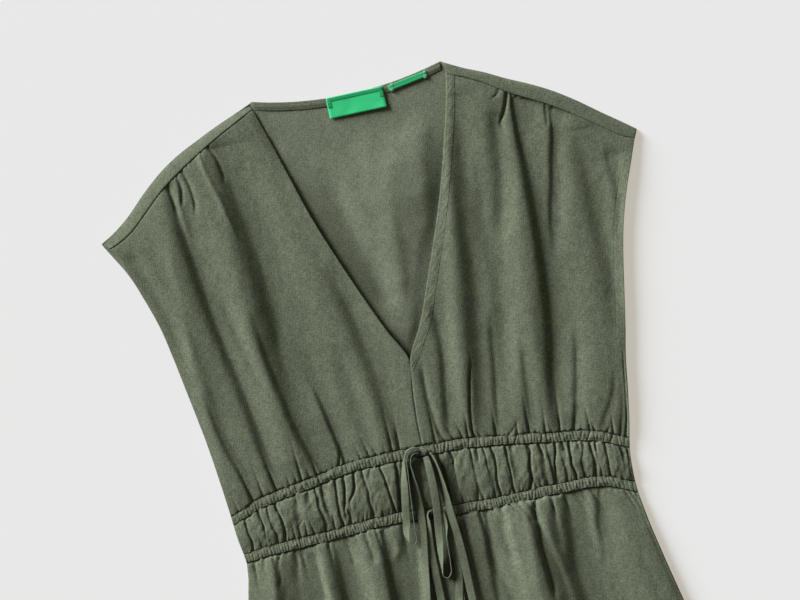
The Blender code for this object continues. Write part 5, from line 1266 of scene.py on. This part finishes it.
def make_thread(name, colour):
    """Sewing thread, with a faint twist."""
    material, tree, shader = shader_nodes(name)
    place = tree.nodes.new("ShaderNodeTexCoord")
    twist = noise_on(tree, place.outputs["Object"], 0.0006, 0.0006, 1.0)
    vary_colour(tree, shader, twist, colour, 0.2)
    set_inputs(shader, {"Roughness": 0.7, "Specular IOR Level": 0.3})
    return material


def make_satin(name, colour):
    """Woven label satin: fine ribs across, with a soft sheen."""
    material, tree, shader = shader_nodes(name)
    uv = cloth_places(tree)
    ribs = noise_on(tree, uv, 0.012, 0.0004, 1.0)
    ends = noise_on(tree, uv, 0.0005, 0.006, 2.0)
    woven = math_node(tree, "ADD", ribs, ends)
    factor = math_node(tree, "MULTIPLY", woven, 0.5)
    vary_colour(tree, shader, factor, colour, 0.2)
    woven_relief(tree, shader, woven, 0.25, 0.0001)
    set_inputs(shader, {"Roughness": 0.5, "Specular IOR Level": 0.4, "Sheen Weight": 0.1})
    return material


def make_floor_finish():
    """A pale matt studio surface that glows a little, as a lit table does."""
    material, _, shader = shader_nodes("studio_floor")
    set_inputs(shader, {"Base Color": FLOOR_COLOUR, "Roughness": 0.95, "Specular IOR Level": 0.1,
                        "Emission Color": FLOOR_GLOW, "Emission Strength": FLOOR_GLOW_SHARE})
    return material


# ---------------------------------------------------------------- stitches

def stitch_tree():
    """Geometry nodes that lay stitches along the lines of a mesh."""
    tree = bpy.data.node_groups.new("Stitch run", "GeometryNodeTree")
    tree.is_modifier = True
    face = tree.interface
    face.new_socket("Lines", in_out="INPUT", socket_type="NodeSocketGeometry")
    for title in ("Pitch", "Stitch length", "Thread width"):
        face.new_socket(title, in_out="INPUT", socket_type="NodeSocketFloat")
    face.new_socket("Thread", in_out="INPUT", socket_type="NodeSocketMaterial")
    face.new_socket("Stitches", in_out="OUTPUT", socket_type="NodeSocketGeometry")
    new = tree.nodes.new
    inside = new("NodeGroupInput")
    outside = new("NodeGroupOutput")
    lines = new("GeometryNodeMeshToCurve")
    steps = new("GeometryNodeResampleCurve")
    steps.mode = "LENGTH"
    tangent = new("GeometryNodeInputTangent")
    turn = new("FunctionNodeAlignRotationToVector")
    turn.axis = "X"
    bead = new("GeometryNodeMeshUVSphere")
    set_inputs(bead, {"Segments": 6, "Rings": 4, "Radius": 0.5})
    size = new("ShaderNodeCombineXYZ")
    stretch = new("GeometryNodeTransform")
    lay = new("GeometryNodeInstanceOnPoints")
    real = new("GeometryNodeRealizeInstances")
    finish = new("GeometryNodeSetMaterial")
    for source, output, target, entry in (
            (inside, "Lines", lines, "Mesh"), (lines, "Curve", steps, "Curve"),
            (inside, "Pitch", steps, "Length"), (inside, "Stitch length", size, "X"),
            (inside, "Thread width", size, "Y"), (inside, "Thread width", size, "Z"),
            (bead, "Mesh", stretch, "Geometry"), (size, "Vector", stretch, "Scale"),
            (tangent, "Tangent", turn, "Vector"), (steps, "Curve", lay, "Points"),
            (stretch, "Geometry", lay, "Instance"), (turn, "Rotation", lay, "Rotation"),
            (lay, "Instances", real, "Geometry"), (real, "Geometry", finish, "Geometry"),
            (inside, "Thread", finish, "Material"), (finish, "Geometry", outside, "Stitches")):
        link(tree, source.outputs[output], target.inputs[entry])
    return tree


def stitching(kind, name, lines, finish="thread"):
    """Stitches along lines of table places, as a plain mesh that rides with the dress."""
    stitch = STITCHES[kind]
    points = []
    edges = []
    for line in lines:
        start = len(points)
        points += world_points(*line).tolist()
        edges += [(i, i + 1) for i in range(start, len(points) - 1)]
    mesh = bpy.data.meshes.new(name)
    mesh.from_pydata(points, edges, [])
    guide = placed(name + "_lines", mesh)
    modifier = guide.modifiers.new("stitches", "NODES")
    modifier.node_group = stitches
    wanted = {"Pitch": stitch.pitch * MM, "Stitch length": stitch.length * MM,
              "Thread width": stitch.width * MM, "Thread": materials[finish]}
    for socket in stitches.interface.items_tree:
        if socket.in_out == "INPUT" and socket.name in wanted:
            modifier[socket.identifier] = wanted[socket.name]
    graph = bpy.context.evaluated_depsgraph_get()
    made = bpy.data.meshes.new_from_object(guide.evaluated_get(graph))
    bpy.data.objects.remove(guide)
    made.name = name
    made.shade_smooth()
    piece = placed(name, made)
    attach(piece, "root")
    return piece


# ---------------------------------------------------------------- the back

def settle(piece, node):
    """Lets a piece stand for its CAD node and move with the dress."""
    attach(piece, "root")
    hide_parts(node)
    return piece


def panel(node, x, down, top, bottom, slot="linen", finish=None):
    """The cloth of one CAD node, in the finish of its slot or in another."""
    piece = shell("cloth_" + node, x, down, top, bottom, materials[finish or slot])
    return settle(piece, node)


def back_piece(node, counts, shape, top=None, slot="linen"):
    """A piece that lies flat on the floor, with a flat top unless one is given."""
    x, down, _, _ = grid(even(counts[0]), even(counts[1]), shape)
    height = np.full(x.shape, BACK_TOP) if top is None else top(x, down)
    return panel(node, x, down, height, 0.0, slot, "linen_inside")


def back_bodice_patch():
    """The back, from the upper casing to its neckline and shoulders."""
    foot = shifted(upper_top, -SEAM_HALF)
    ends = {sign: meet_side(sign, foot) for sign in (-1, 1)}
    tip = {sign: sign * float(body_half(ARMHOLE_TIP, sign)) for sign in (-1, 1)}

    def head(u):
        x = np.interp(u, (0, 0.3, 0.7, 1), (tip[-1], -NECK_HALF, NECK_HALF, tip[1]))
        return x, back_top(x)

    return patch(side_edge(-1, ends[-1][1], ARMHOLE_TIP), side_edge(1, ends[1][1], ARMHOLE_TIP),
                 line_edge(ends[-1][0], ends[1][0], foot), head)


def skirt_patch():
    """A skirt panel, from the lower casing to the hem."""
    top = shifted(lower_foot, SEAM_HALF)
    ends = {sign: meet_side(sign, top) for sign in (-1, 1)}
    foot_down = float(hem_line(SIDE[-1].left))
    foot_half = float(body_half(foot_down, 1))
    return patch(side_edge(-1, foot_down, ends[-1][1]), side_edge(1, foot_down, ends[1][1]),
                 line_edge(-foot_half, foot_half, hem_line),
                 line_edge(ends[-1][0], ends[1][0], top))


def build_back():
    """The back, the backs of the waist inset and its casings, and the skirt's back."""
    bodice = back_piece("bodice_back", GRIDS["bodice_back"], back_bodice_patch(), back_inside)
    strips = {}
    for node, kind, top, low, slot in (
            ("casing_upper_back", "casing_back", upper_top, upper_foot, "linen_trim"),
            ("waist_back", "waist_back", upper_foot, lower_top, "linen"),
            ("casing_lower_back", "casing_back", lower_top, lower_foot, "linen_trim")):
        shape = band_patch(shifted(top, SEAM_HALF), shifted(low, -SEAM_HALF))
        strips[node] = back_piece(node, GRIDS[kind], shape, slot=slot)
    skirt = back_piece("skirt_back", GRIDS["skirt_back"], skirt_patch())
    return bodice, strips, skirt


def binding_top(w):
    """Top of the neck binding at a share of its width from its lower edge."""
    crown = np.clip(np.sin(np.pi * w), 0, 1) ** 0.4
    stitched = sum(hump(w, place, 0.09) for place in BINDING_STITCHES)
    return BACK_TOP + BACK_GAP + 0.6 + 0.6 * crown - 0.3 * stitched


def build_binding():
    """A narrow strip round the inside of the back neckline."""
    def shape(u, v):
        x = between(-BINDING_END, BINDING_END, u)
        return x, back_top(x) + BINDING_DROP + BINDING_WIDTH * (1 - v)
    columns, along = GRIDS["binding"]
    x, down, _, v = grid(even(columns), even(along), shape)
    top = binding_top(v) + 0.10 * noise(x / 2.8, v * 2, 101) + 0.12 * noise(x / 11, v, 102)
    return panel("back_neck_binding", x, down, top, BACK_TOP + BACK_GAP, "linen_trim")


def binding_stitches():
    """Its two stitch lines."""
    xs = np.arange(-BINDING_END + 2, BINDING_END - 2, 1.5)
    lines = []
    for w in BINDING_STITCHES:
        down = back_top(xs) + BINDING_DROP + BINDING_WIDTH * (1 - w)
        lines.append((xs, down, np.full(len(xs), float(binding_top(w)) + 0.1)))
    return stitching("binding", "stitches_binding", lines)


# ---------------------------------------------------------------- the front

def yoke_seam_start(sign):
    """x where the yoke seam meets the V edge."""
    return float(inner_edge(shoulder_line(sign * SHOULDER[0].x, "seam"), sign))


def bodice_patch(sign):
    """One front, from centre front to side seam and from the casing up to the yoke seam."""
    foot_line = shifted(upper_top, -SEAM_HALF)
    head_line = shifted(lambda x: shoulder_line(x, "seam"), 2 * SEAM_HALF)
    foot_outer_x, foot_outer_down = meet_side(sign, foot_line)
    foot_inner_x = float(inner_edge(FRONT_FOOT, sign))
    foot_inner_down = float(foot_line(foot_inner_x))
    head_inner_x = yoke_seam_start(sign)
    head_inner_down = float(head_line(head_inner_x))
    head_outer_x = sign * YOKE_TIP_SEAM[sign]
    head_outer_down = float(head_line(head_outer_x))

    def inner(v):
        down = between(foot_inner_down, head_inner_down, np.asarray(v, dtype=float))
        return inner_edge(down, sign), down

    def outer(v):
        down = between(foot_outer_down, head_outer_down, np.asarray(v, dtype=float))
        turn_in = head_outer_x - sign * body_half(head_outer_down, sign)
        inset = ARMHOLE_INSET * hump(down, ARMHOLE_INSET_DOWN, ARMHOLE_INSET_REACH) * (sign < 0)
        x = sign * body_half(down, sign) + turn_in * v ** TIP_TURN[sign]
        return x - sign * inset * (1 - v ** 30), down

    foot = line_edge(foot_inner_x, foot_outer_x, foot_line)
    head = line_edge(head_inner_x, head_outer_x, head_line)
    return patch(inner, outer, foot, head)


def front_panel(node, x, down, top, slot="linen"):
    """A piece of the front, joined to the back at its side seams."""
    return panel(node, x, down, top, closed_sides(x, down, top), slot)


def build_front(sign, side):
    """One bodice front, with finer faces at its edges."""
    columns, along = GRIDS["bodice_front"]
    us = spaced(columns, (0, 1.3), (0.08, 1.0), (0.85, 1.0), (0.93, 1.9), (1, 1.9))
    vs = spaced(along, (0, 2.6), (0.06, 2.0), (0.15, 1.0), (0.75, 1.0), (0.9, 2.0), (1, 2.6))
    x, down, _, _ = grid(us, vs, bodice_patch(sign))
    return front_panel("bodice_front_" + side, x, down, bodice_top(x, down, sign))


def band_width(down, sign):
    """How wide the neck band is at a level."""
    return curve(down, *BAND_WIDTHS[sign])


def band_height(x, down, sign, w):
    """Top of a neck band, w millimetres in from the V edge."""
    width = band_width(down, sign)
    round_edge = 1 - np.exp(-(w + 0.5) / 0.55)
    inner = soft(width - w, 0.6)
    pull = BAND_PULL[sign]
    near = hump(w, BAND_EDGE_STITCH, 0.7)
    far = hump(w - width, -BAND_SEAM_STITCH, 0.8)
    pucker = 0.55 + 0.45 * noise(down / 2.3, 0, 111)
    drawn = noise((down + 1.2 * w) / 3.1, w / 7, 112) * np.sin(np.pi * np.clip(w / width, 0, 1))
    raised = BAND_LIFT[sign] + (0.20 * np.clip((105 - down) / 30, 0, 1) if sign > 0 else 0)
    lift = 0.12 + raised * round_edge * (0.35 + 0.65 * inner)
    return (bodice_top(x, down, sign) + lift - pull * (0.28 * pucker * (near * (sign > 0) + far))
            + pull * 0.22 * drawn)


def build_neck_band(sign, side):
    """The turned edge of one front along the V, with its stitch lines."""
    across, along = GRIDS["neck_band"]
    down_line = np.linspace(BAND_FOOT[sign], BAND_TOP[sign], along + 1)
    shares = spaced(across, (0, 2.2), (0.15, 1.0), (0.85, 1.0), (1, 2.0))
    share, down = np.meshgrid(shares, down_line)
    w = between(-0.5, band_width(down, sign), share)
    x = inner_edge(down, sign) + sign * w
    top = band_height(x, down, sign, w)
    under = bodice_top(x, down, sign) + 0.1
    bottom = np.where(w < 0.35, under - 0.9, under)
    piece = panel("neck_band_" + side, x, down, top, np.minimum(bottom, top - 0.2), "linen_trim")
    down = np.linspace(BAND_TOP[sign] + 2, BAND_FOOT[sign] - 6, 260)
    at_seam = band_width(down, sign) - BAND_SEAM_STITCH
    at_edge = np.full(len(down), BAND_EDGE_STITCH)
    lines = []
    for w in ((at_edge, at_seam) if sign > 0 else (at_seam,)):
        x = inner_edge(down, sign) + sign * w
        lines.append((x, down, band_height(x, down, sign, w) - (0.02 if sign > 0 else 0.1)))
    return piece, stitching("neck", "stitches_neck_" + side, lines)


def seam_down(x):
    """A little below the yoke seam."""
    return shoulder_line(x, "seam") + 1.0


def build_yoke(sign, side):
    """The strip over one shoulder, folded over it to the back."""
    def shape(u, v):
        top_x = sign * between(SHOULDER_START, YOKE_TIP_TOP[sign], u)
        seam_x = between(yoke_seam_start(sign), sign * YOKE_TIP_SEAM[sign], u)
        down = between(shoulder_line(seam_x, "seam"), shoulder_line(top_x, "top"), v)
        return between(seam_x, top_x, v), down
    columns, along = GRIDS["yoke"]
    x, down, u, v = grid(even(columns), spaced(along, (0, 1.4), (0.5, 1.0), (1, 2.2)), shape)
    seam_x = between(yoke_seam_start(sign), sign * YOKE_TIP_SEAM[sign], u)
    seam_height = EDGE_TOP + (BODICE_LOFT - EDGE_TOP) * bodice_rise(seam_x, seam_down(seam_x), sign)
    flat = seam_height + YOKE_LIFT + YOKE_SLOPE[sign] * v
    top = between(BACK_TOP + CLOTH_WALL + 0.2, flat, 1 - v ** 6)
    top = top - 0.3 * dip(v * 12, 0.5) + 0.12 * noise(x / 14, v * 1.5, 121)
    return panel("shoulder_yoke_" + side, x, down, top, top - CLOTH_WALL)


def build_casing_front(which):
    """The front of one drawstring casing, with its two stitch lines."""
    top_line = upper_top if which == "upper" else lower_top
    foot_line = upper_foot if which == "upper" else lower_foot
    shape = band_patch(shifted(top_line, SEAM_HALF), shifted(foot_line, -SEAM_HALF))
    columns, along = GRIDS["casing_front"]
    x, down, _, v = grid(even(columns), even(along), shape)
    top = casing_top(x, down, v, which)
    piece = front_panel(f"casing_{which}_front", x, down, top, "linen_trim")
    lines = []
    for share in CASING_STITCHES:
        x, down, _, v = grid(even(480), np.array([share]), shape)
        lines.append((x[0], down[0], casing_top(x, down, v, which)[0]))
    return piece, stitching("casing", "stitches_casing_" + which, lines)


def build_waist_front():
    """The waist inset between the casings."""
    shape = band_patch(shifted(upper_foot, SEAM_HALF), shifted(lower_top, -SEAM_HALF))
    columns, along = GRIDS["waist_front"]
    vs = spaced(along, (0, 1.8), (0.15, 1.0), (0.85, 1.0), (1, 1.8))
    x, down, _, _ = grid(even(columns), vs, shape)
    return front_panel("waist_front", x, down, waist_top(x, down))


def build_skirt_front():
    """The skirt front, with finer faces at its head, and its hem stitches."""
    columns, along = GRIDS["skirt_front"]
    from_head = spaced(along, (0, 5.0), (0.05, 3.6), (0.2, 2.4), (0.3, 0.8), (0.95, 0.6), (1, 1.6))
    x, down, _, _ = grid(even(columns), 1 - from_head[::-1], skirt_patch())
    piece = front_panel("skirt_front", x, down, skirt_top(x, down))
    xs = np.linspace(-296, 296, 420)
    down = hem_line(xs) - (SKIRT_HEM - HEM_STITCH)
    line = (xs, down, skirt_top(xs, down) + 0.1)
    return piece, stitching("hem", "stitches_hem", [line])


# ---------------------------------------------------------------- ties and labels

def tape_frame(route, steps):
    """Points along a tape's middle, with its sideways and upward directions at each."""
    points = np.array([(run.x, -run.down, run.z) for run in route])
    lengths = np.concatenate(([0], np.cumsum(np.linalg.norm(np.diff(points, axis=0), axis=1))))
    at = np.linspace(0, lengths[-1], steps + 1)
    middle = np.stack([curve(at, lengths, points[:, axis]) for axis in range(3)], axis=1)
    tilt = np.radians(curve(at, lengths, [run.tilt for run in route]))
    heading = np.gradient(middle, at, axis=0)
    heading[:, 2] = 0
    heading /= np.linalg.norm(heading, axis=1)[:, None]
    across = np.stack([-heading[:, 1], heading[:, 0], np.zeros(len(at))], axis=1)
    sideways = across * np.cos(tilt)[:, None]
    sideways[:, 2] = np.sin(tilt)
    return at, middle, sideways, np.cross(heading, sideways)


def tape_width(at, returns):
    """The width along a tape, squeezed where it enters its knot."""
    from_knot = np.minimum(at, at[-1] - at) if returns else at
    return TAPE_WIDTH * (1 - (1 - KNOT_SQUEEZE) * np.exp(-from_knot / KNOT_SQUEEZE_REACH))


def swept(name, middle, sideways, upward, width, at, closed):
    """A tape along a line, closed at its ends or joined into a ring."""
    upper = np.array(TAPE_SECTION)
    lower = upper[-2:0:-1] * (1, -1)
    section = np.concatenate([upper, lower])
    count = len(section)
    steps = len(middle)
    sides = sideways[:, None, :] * (section[:, 0] * 0.5)[None, :, None] * width[:, None, None]
    ups = upward[:, None, :] * (section[:, 1] * TAPE_WALL / 2)[None, :, None]
    points = (middle[:, None, :] + sides + ups).reshape(-1, 3)
    index = np.arange(steps * count).reshape(steps, count)
    index = np.concatenate([index, index[:, :1]], axis=1)
    if closed:
        index = np.concatenate([index, index[:1]], axis=0)
    faces = quads(index).tolist()
    if not closed:
        faces += [index[0, :-1][::-1].tolist(), index[-1, :-1].tolist()]
    across = np.tile(section[:, 0] * TAPE_WIDTH / 2, steps)
    uv = np.stack([across, np.repeat(at, count)], axis=1) * MM
    points = points * MM + NECK_PLACE
    piece = make_mesh(name, points, faces, uv, materials["tape"])
    flip_if_inside_out(piece)
    return piece


def flip_if_inside_out(piece):
    """Turns a closed mesh's faces outwards."""
    mesh = piece.data
    mesh.calc_loop_triangles()
    volume = sum(mesh.vertices[a].co.dot(mesh.vertices[b].co.cross(mesh.vertices[c].co))
                 for a, b, c in (t.vertices for t in mesh.loop_triangles))
    if volume < 0:
        mesh.flip_normals()


def build_tape(name, route):
    """One loop or tail of a bow, with the stitch line along its edge."""
    returns = name.startswith("loop")
    steps = TAPE_STEPS["loop" if returns else "tail"]
    at, middle, sideways, upward = tape_frame(route, steps)
    width = tape_width(at, returns)
    ripple = 0.18 * noise(at / 9.0, 0, len(name) * 7) + 0.1 * noise(at / 3.5, 3, len(name) * 5)
    middle = middle + upward * ripple[:, None]
    piece = swept("tape_" + name, middle, sideways, upward, width, at, False)
    settle(piece, name)
    inside = (middle + sideways * (TAPE_STITCH * 0.5 * width)[:, None]
              + upward * (0.42 * TAPE_WALL))
    line = (inside[3:-2, 0], -inside[3:-2, 1], inside[3:-2, 2])
    stitched = stitching("tape", "stitches_tape_" + name, [line])
    return piece


# The wraps of a knot: the turn of each about the vertical and its lean, in degrees, its width and
# its share of the knot's size.
Wrap = namedtuple("Wrap", "turn lean width share")
WRAPS = (Wrap(62, 0, 4.2, 0.96), Wrap(-28, 24, 3.6, 0.88), Wrap(15, -20, 3.4, 0.80))


def build_knot(name, spot):
    """A knot: tape wrapped tightly over itself."""
    rings = []
    for wrap in WRAPS:
        angle = np.linspace(0, 2 * np.pi, KNOT_STEPS + 1)[:-1]
        half = np.array(KNOT_SIZE) / 2 * wrap.share - TAPE_WALL / 2
        turn = Matrix.Rotation(math.radians(wrap.turn), 3, "Z")
        turn = turn @ Matrix.Rotation(math.radians(wrap.lean), 3, "X")
        side, ahead, up = (np.array(turn @ Vector(axis))
                           for axis in ((0, 1, 0), (1, 0, 0), (0, 0, 1)))
        ring = np.cos(angle)[:, None] * ahead + np.sin(angle)[:, None] * up
        middle = ring * half + np.array((spot.x, -spot.down, spot.z))
        upward = ring / np.linalg.norm(ring, axis=1)[:, None]
        sideways = np.tile(side, (len(angle), 1))
        width = np.full(len(angle), wrap.width)
        rings.append(swept(name + "_wrap", middle, sideways, upward, width, angle * 4, True))
    bpy.ops.object.select_all(action="DESELECT")
    for ring in rings:
        ring.select_set(True)
    bpy.context.view_layer.objects.active = rings[0]
    bpy.ops.object.join()
    piece = rings[0]
    piece.name = "tied_" + name
    piece.data.name = piece.name
    return settle(piece, name)


def label_grid(label, width, height, rise, us, vs):
    """Places of a rectangle on a label, its middle raised along the label's height by "rise"."""
    turn = math.radians(label.turn)
    u, v = np.meshgrid(us, vs)
    across = (u - 0.5) * width
    up = (v - 0.5) * height + rise
    x = label.x + across * math.cos(turn) - up * math.sin(turn)
    down = label.down - (across * math.sin(turn) + up * math.cos(turn))
    return x, down, u, v, across / label.width + 0.5, up / label.height + 0.5


def label_lift(x, down, u, v, curl):
    """How far a label stands off the back: it curls up towards its lower edge."""
    return curl * (1 - v) ** 2 * (0.4 + 0.6 * u) + 0.15 * noise(x / 9, down / 6, 131)


def build_label(name, label, finish, curl):
    """A folded woven label, bare, a little lifted at its lower edge."""
    columns, along = GRIDS["label"]
    us = spaced(columns, (0, 1.6), (0.5, 0.8), (1, 1.6))
    vs = spaced(along, (0, 2.4), (0.3, 0.8), (1, 1.4))
    x, down, u, v, _, _ = label_grid(label, label.width, label.height, 0, us, vs)
    edge = np.minimum(np.minimum(u, 1 - u) * label.width, np.minimum(v, 1 - v) * label.height)
    lift = label_lift(x, down, u, v, curl)
    rounded = np.sqrt(np.clip(edge / LABEL_RIM, 0.15, 1))
    top = LABEL_BASE + LABEL_LIFT + lift + LABEL_WALL * rounded
    piece = shell("woven_" + name, x, down, top, LABEL_BASE + lift, materials[finish])
    return settle(piece, name)


def label_strip(name, label, strip, curl, finish):
    """A darker woven strip on a label: its width, height and the place of its middle."""
    width, height, aside, rise = strip
    moved = label._replace(x=label.x + aside)
    us, vs = (even(count) for count in GRIDS["label_strip"])
    x, down, _, _, u, v = label_grid(moved, width, height, rise, us, vs)
    over = LABEL_BASE + LABEL_LIFT + label_lift(x, down, u, v, curl) + LABEL_WALL
    under, top = (over + height for height in LABEL_STRIP_WALL)
    piece = shell("woven_" + name, x, down, top, under, materials[finish])
    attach(piece, "root")
    return piece


def tag_stitches():
    """Slanting stitches that hold the small label at both ends."""
    tag = LABELS["label_fabric"]
    lines = []
    for end in (-1, 1):
        for step in range(3):
            u = 0.5 + end * (0.455 - 0.024 * step)
            slant = label_grid(tag, tag.width, tag.height, 0, (u, u + 0.03), (0.1, 0.9))
            x, down = (np.diagonal(values) for values in slant[:2])
            lines.append((x, down, np.full(2, LABEL_BASE + LABEL_WALL + 0.35)))
    return stitching("tag", "stitches_tag", lines, "tag_thread")


# ---------------------------------------------------------------- light, floor and camera

def studio():
    """A pale floor, a large soft light from the upper left of the view, and a camera overhead."""
    floor = bpy.data.meshes.new("floor")
    corners = [(x * FLOOR_HALF, y * FLOOR_HALF, FLOOR_LEVEL)
               for x, y in ((-1, -1), (1, -1), (1, 1), (-1, 1))]
    floor.from_pydata(corners, [], [(0, 1, 2, 3)])
    floor.materials.append(make_floor_finish())
    placed("floor", floor)

    world = bpy.data.worlds.new("studio")
    world.use_nodes = True
    set_inputs(world.node_tree.nodes["Background"], {"Color": FILL_COLOUR, "Strength": FILL_SHARE})
    bpy.context.scene.world = world
    bpy.context.scene.view_settings.view_transform = "Standard"

    target = Vector((VIEW_X * MM, (BODY_MIDDLE - VIEW_DOWN) * MM, 0))
    key = bpy.data.lights.new("key", "SUN")
    key.angle = math.radians(KEY_SPREAD)
    key.energy = KEY_SHARE * math.pi / math.sin(math.radians(KEY_ELEVATION))
    key.color = KEY_COLOUR
    azimuth = math.radians(KEY_AZIMUTH)
    elevation = math.radians(KEY_ELEVATION)
    away = Vector((math.cos(azimuth) * math.cos(elevation), math.sin(azimuth) * math.cos(elevation),
                   math.sin(elevation)))
    lamp = placed("key", key)
    lamp.location = target + away * KEY_AWAY
    lamp.rotation_euler = away.to_track_quat("Z", "Y").to_euler()

    lens = bpy.data.cameras.new("camera")
    lens.lens = VIEW_LENS
    lens.sensor_width = VIEW_SENSOR
    camera = placed("camera", lens)
    distance = VIEW_WIDTH * MM * VIEW_LENS / VIEW_SENSOR
    camera.location = target + Vector((0, 0, distance + VIEW_LEVEL * MM))
    camera.rotation_euler = (0, 0, math.radians(VIEW_TURN))
    bpy.context.scene.camera = camera


# ---------------------------------------------------------------- the dress

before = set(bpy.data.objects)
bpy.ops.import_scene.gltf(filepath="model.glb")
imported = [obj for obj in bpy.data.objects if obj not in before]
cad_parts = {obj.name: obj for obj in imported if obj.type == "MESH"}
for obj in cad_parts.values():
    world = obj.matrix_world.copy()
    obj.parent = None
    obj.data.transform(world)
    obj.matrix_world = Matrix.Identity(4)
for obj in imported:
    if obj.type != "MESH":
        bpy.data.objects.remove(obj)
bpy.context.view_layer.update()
studio()

materials = {
    "linen": make_linen("linen_cloth", LINEN, 2.4, 1.3),
    "linen_inside": make_linen("linen_inside", LINEN_INSIDE, 1.7, 1.1),
    "linen_trim": make_linen("linen_trim", scaled(LINEN, 1.02), 2.1, 1.1),
    "tape": make_linen("tape_linen", TAPE_LINEN, 1.4, 1.0),
    "thread": make_thread("sewing_thread", THREAD),
    "tag_thread": make_thread("tag_thread", TAG_THREAD),
    "label": make_satin("label_satin", LABEL_GREEN),
    "label_dark": make_satin("label_border", LABEL_DARK),
    "tag": make_satin("tag_satin", TAG_GREEN),
}
stitches = stitch_tree()

for tape_name, tape_route in TAPES.items():
    build_tape(tape_name, tape_route)
for knot_name, knot_spot in KNOTS.items():
    build_knot(knot_name, knot_spot)

back, back_strips, skirt_back = build_back()
binding = build_binding()
binding_seams = binding_stitches()
label = build_label("label_neck", LABELS["label_neck"], "label", LABEL_CURL)
border = [label_strip(f"label_border_{i}", LABELS["label_neck"], strip, LABEL_CURL, "label_dark")
          for i, strip in enumerate(LABEL_STRIPS)]
tag = build_label("label_fabric", LABELS["label_fabric"], "tag", TAG_CURL)
tag_ends = tag_stitches()

for sign, side in ((1, "left"), (-1, "right")):
    front = build_front(sign, side)
    band, band_seams = build_neck_band(sign, side)
    yoke = build_yoke(sign, side)

waist = build_waist_front()
casings = {which: build_casing_front(which) for which in ("upper", "lower")}
skirt, hem_seams = build_skirt_front()
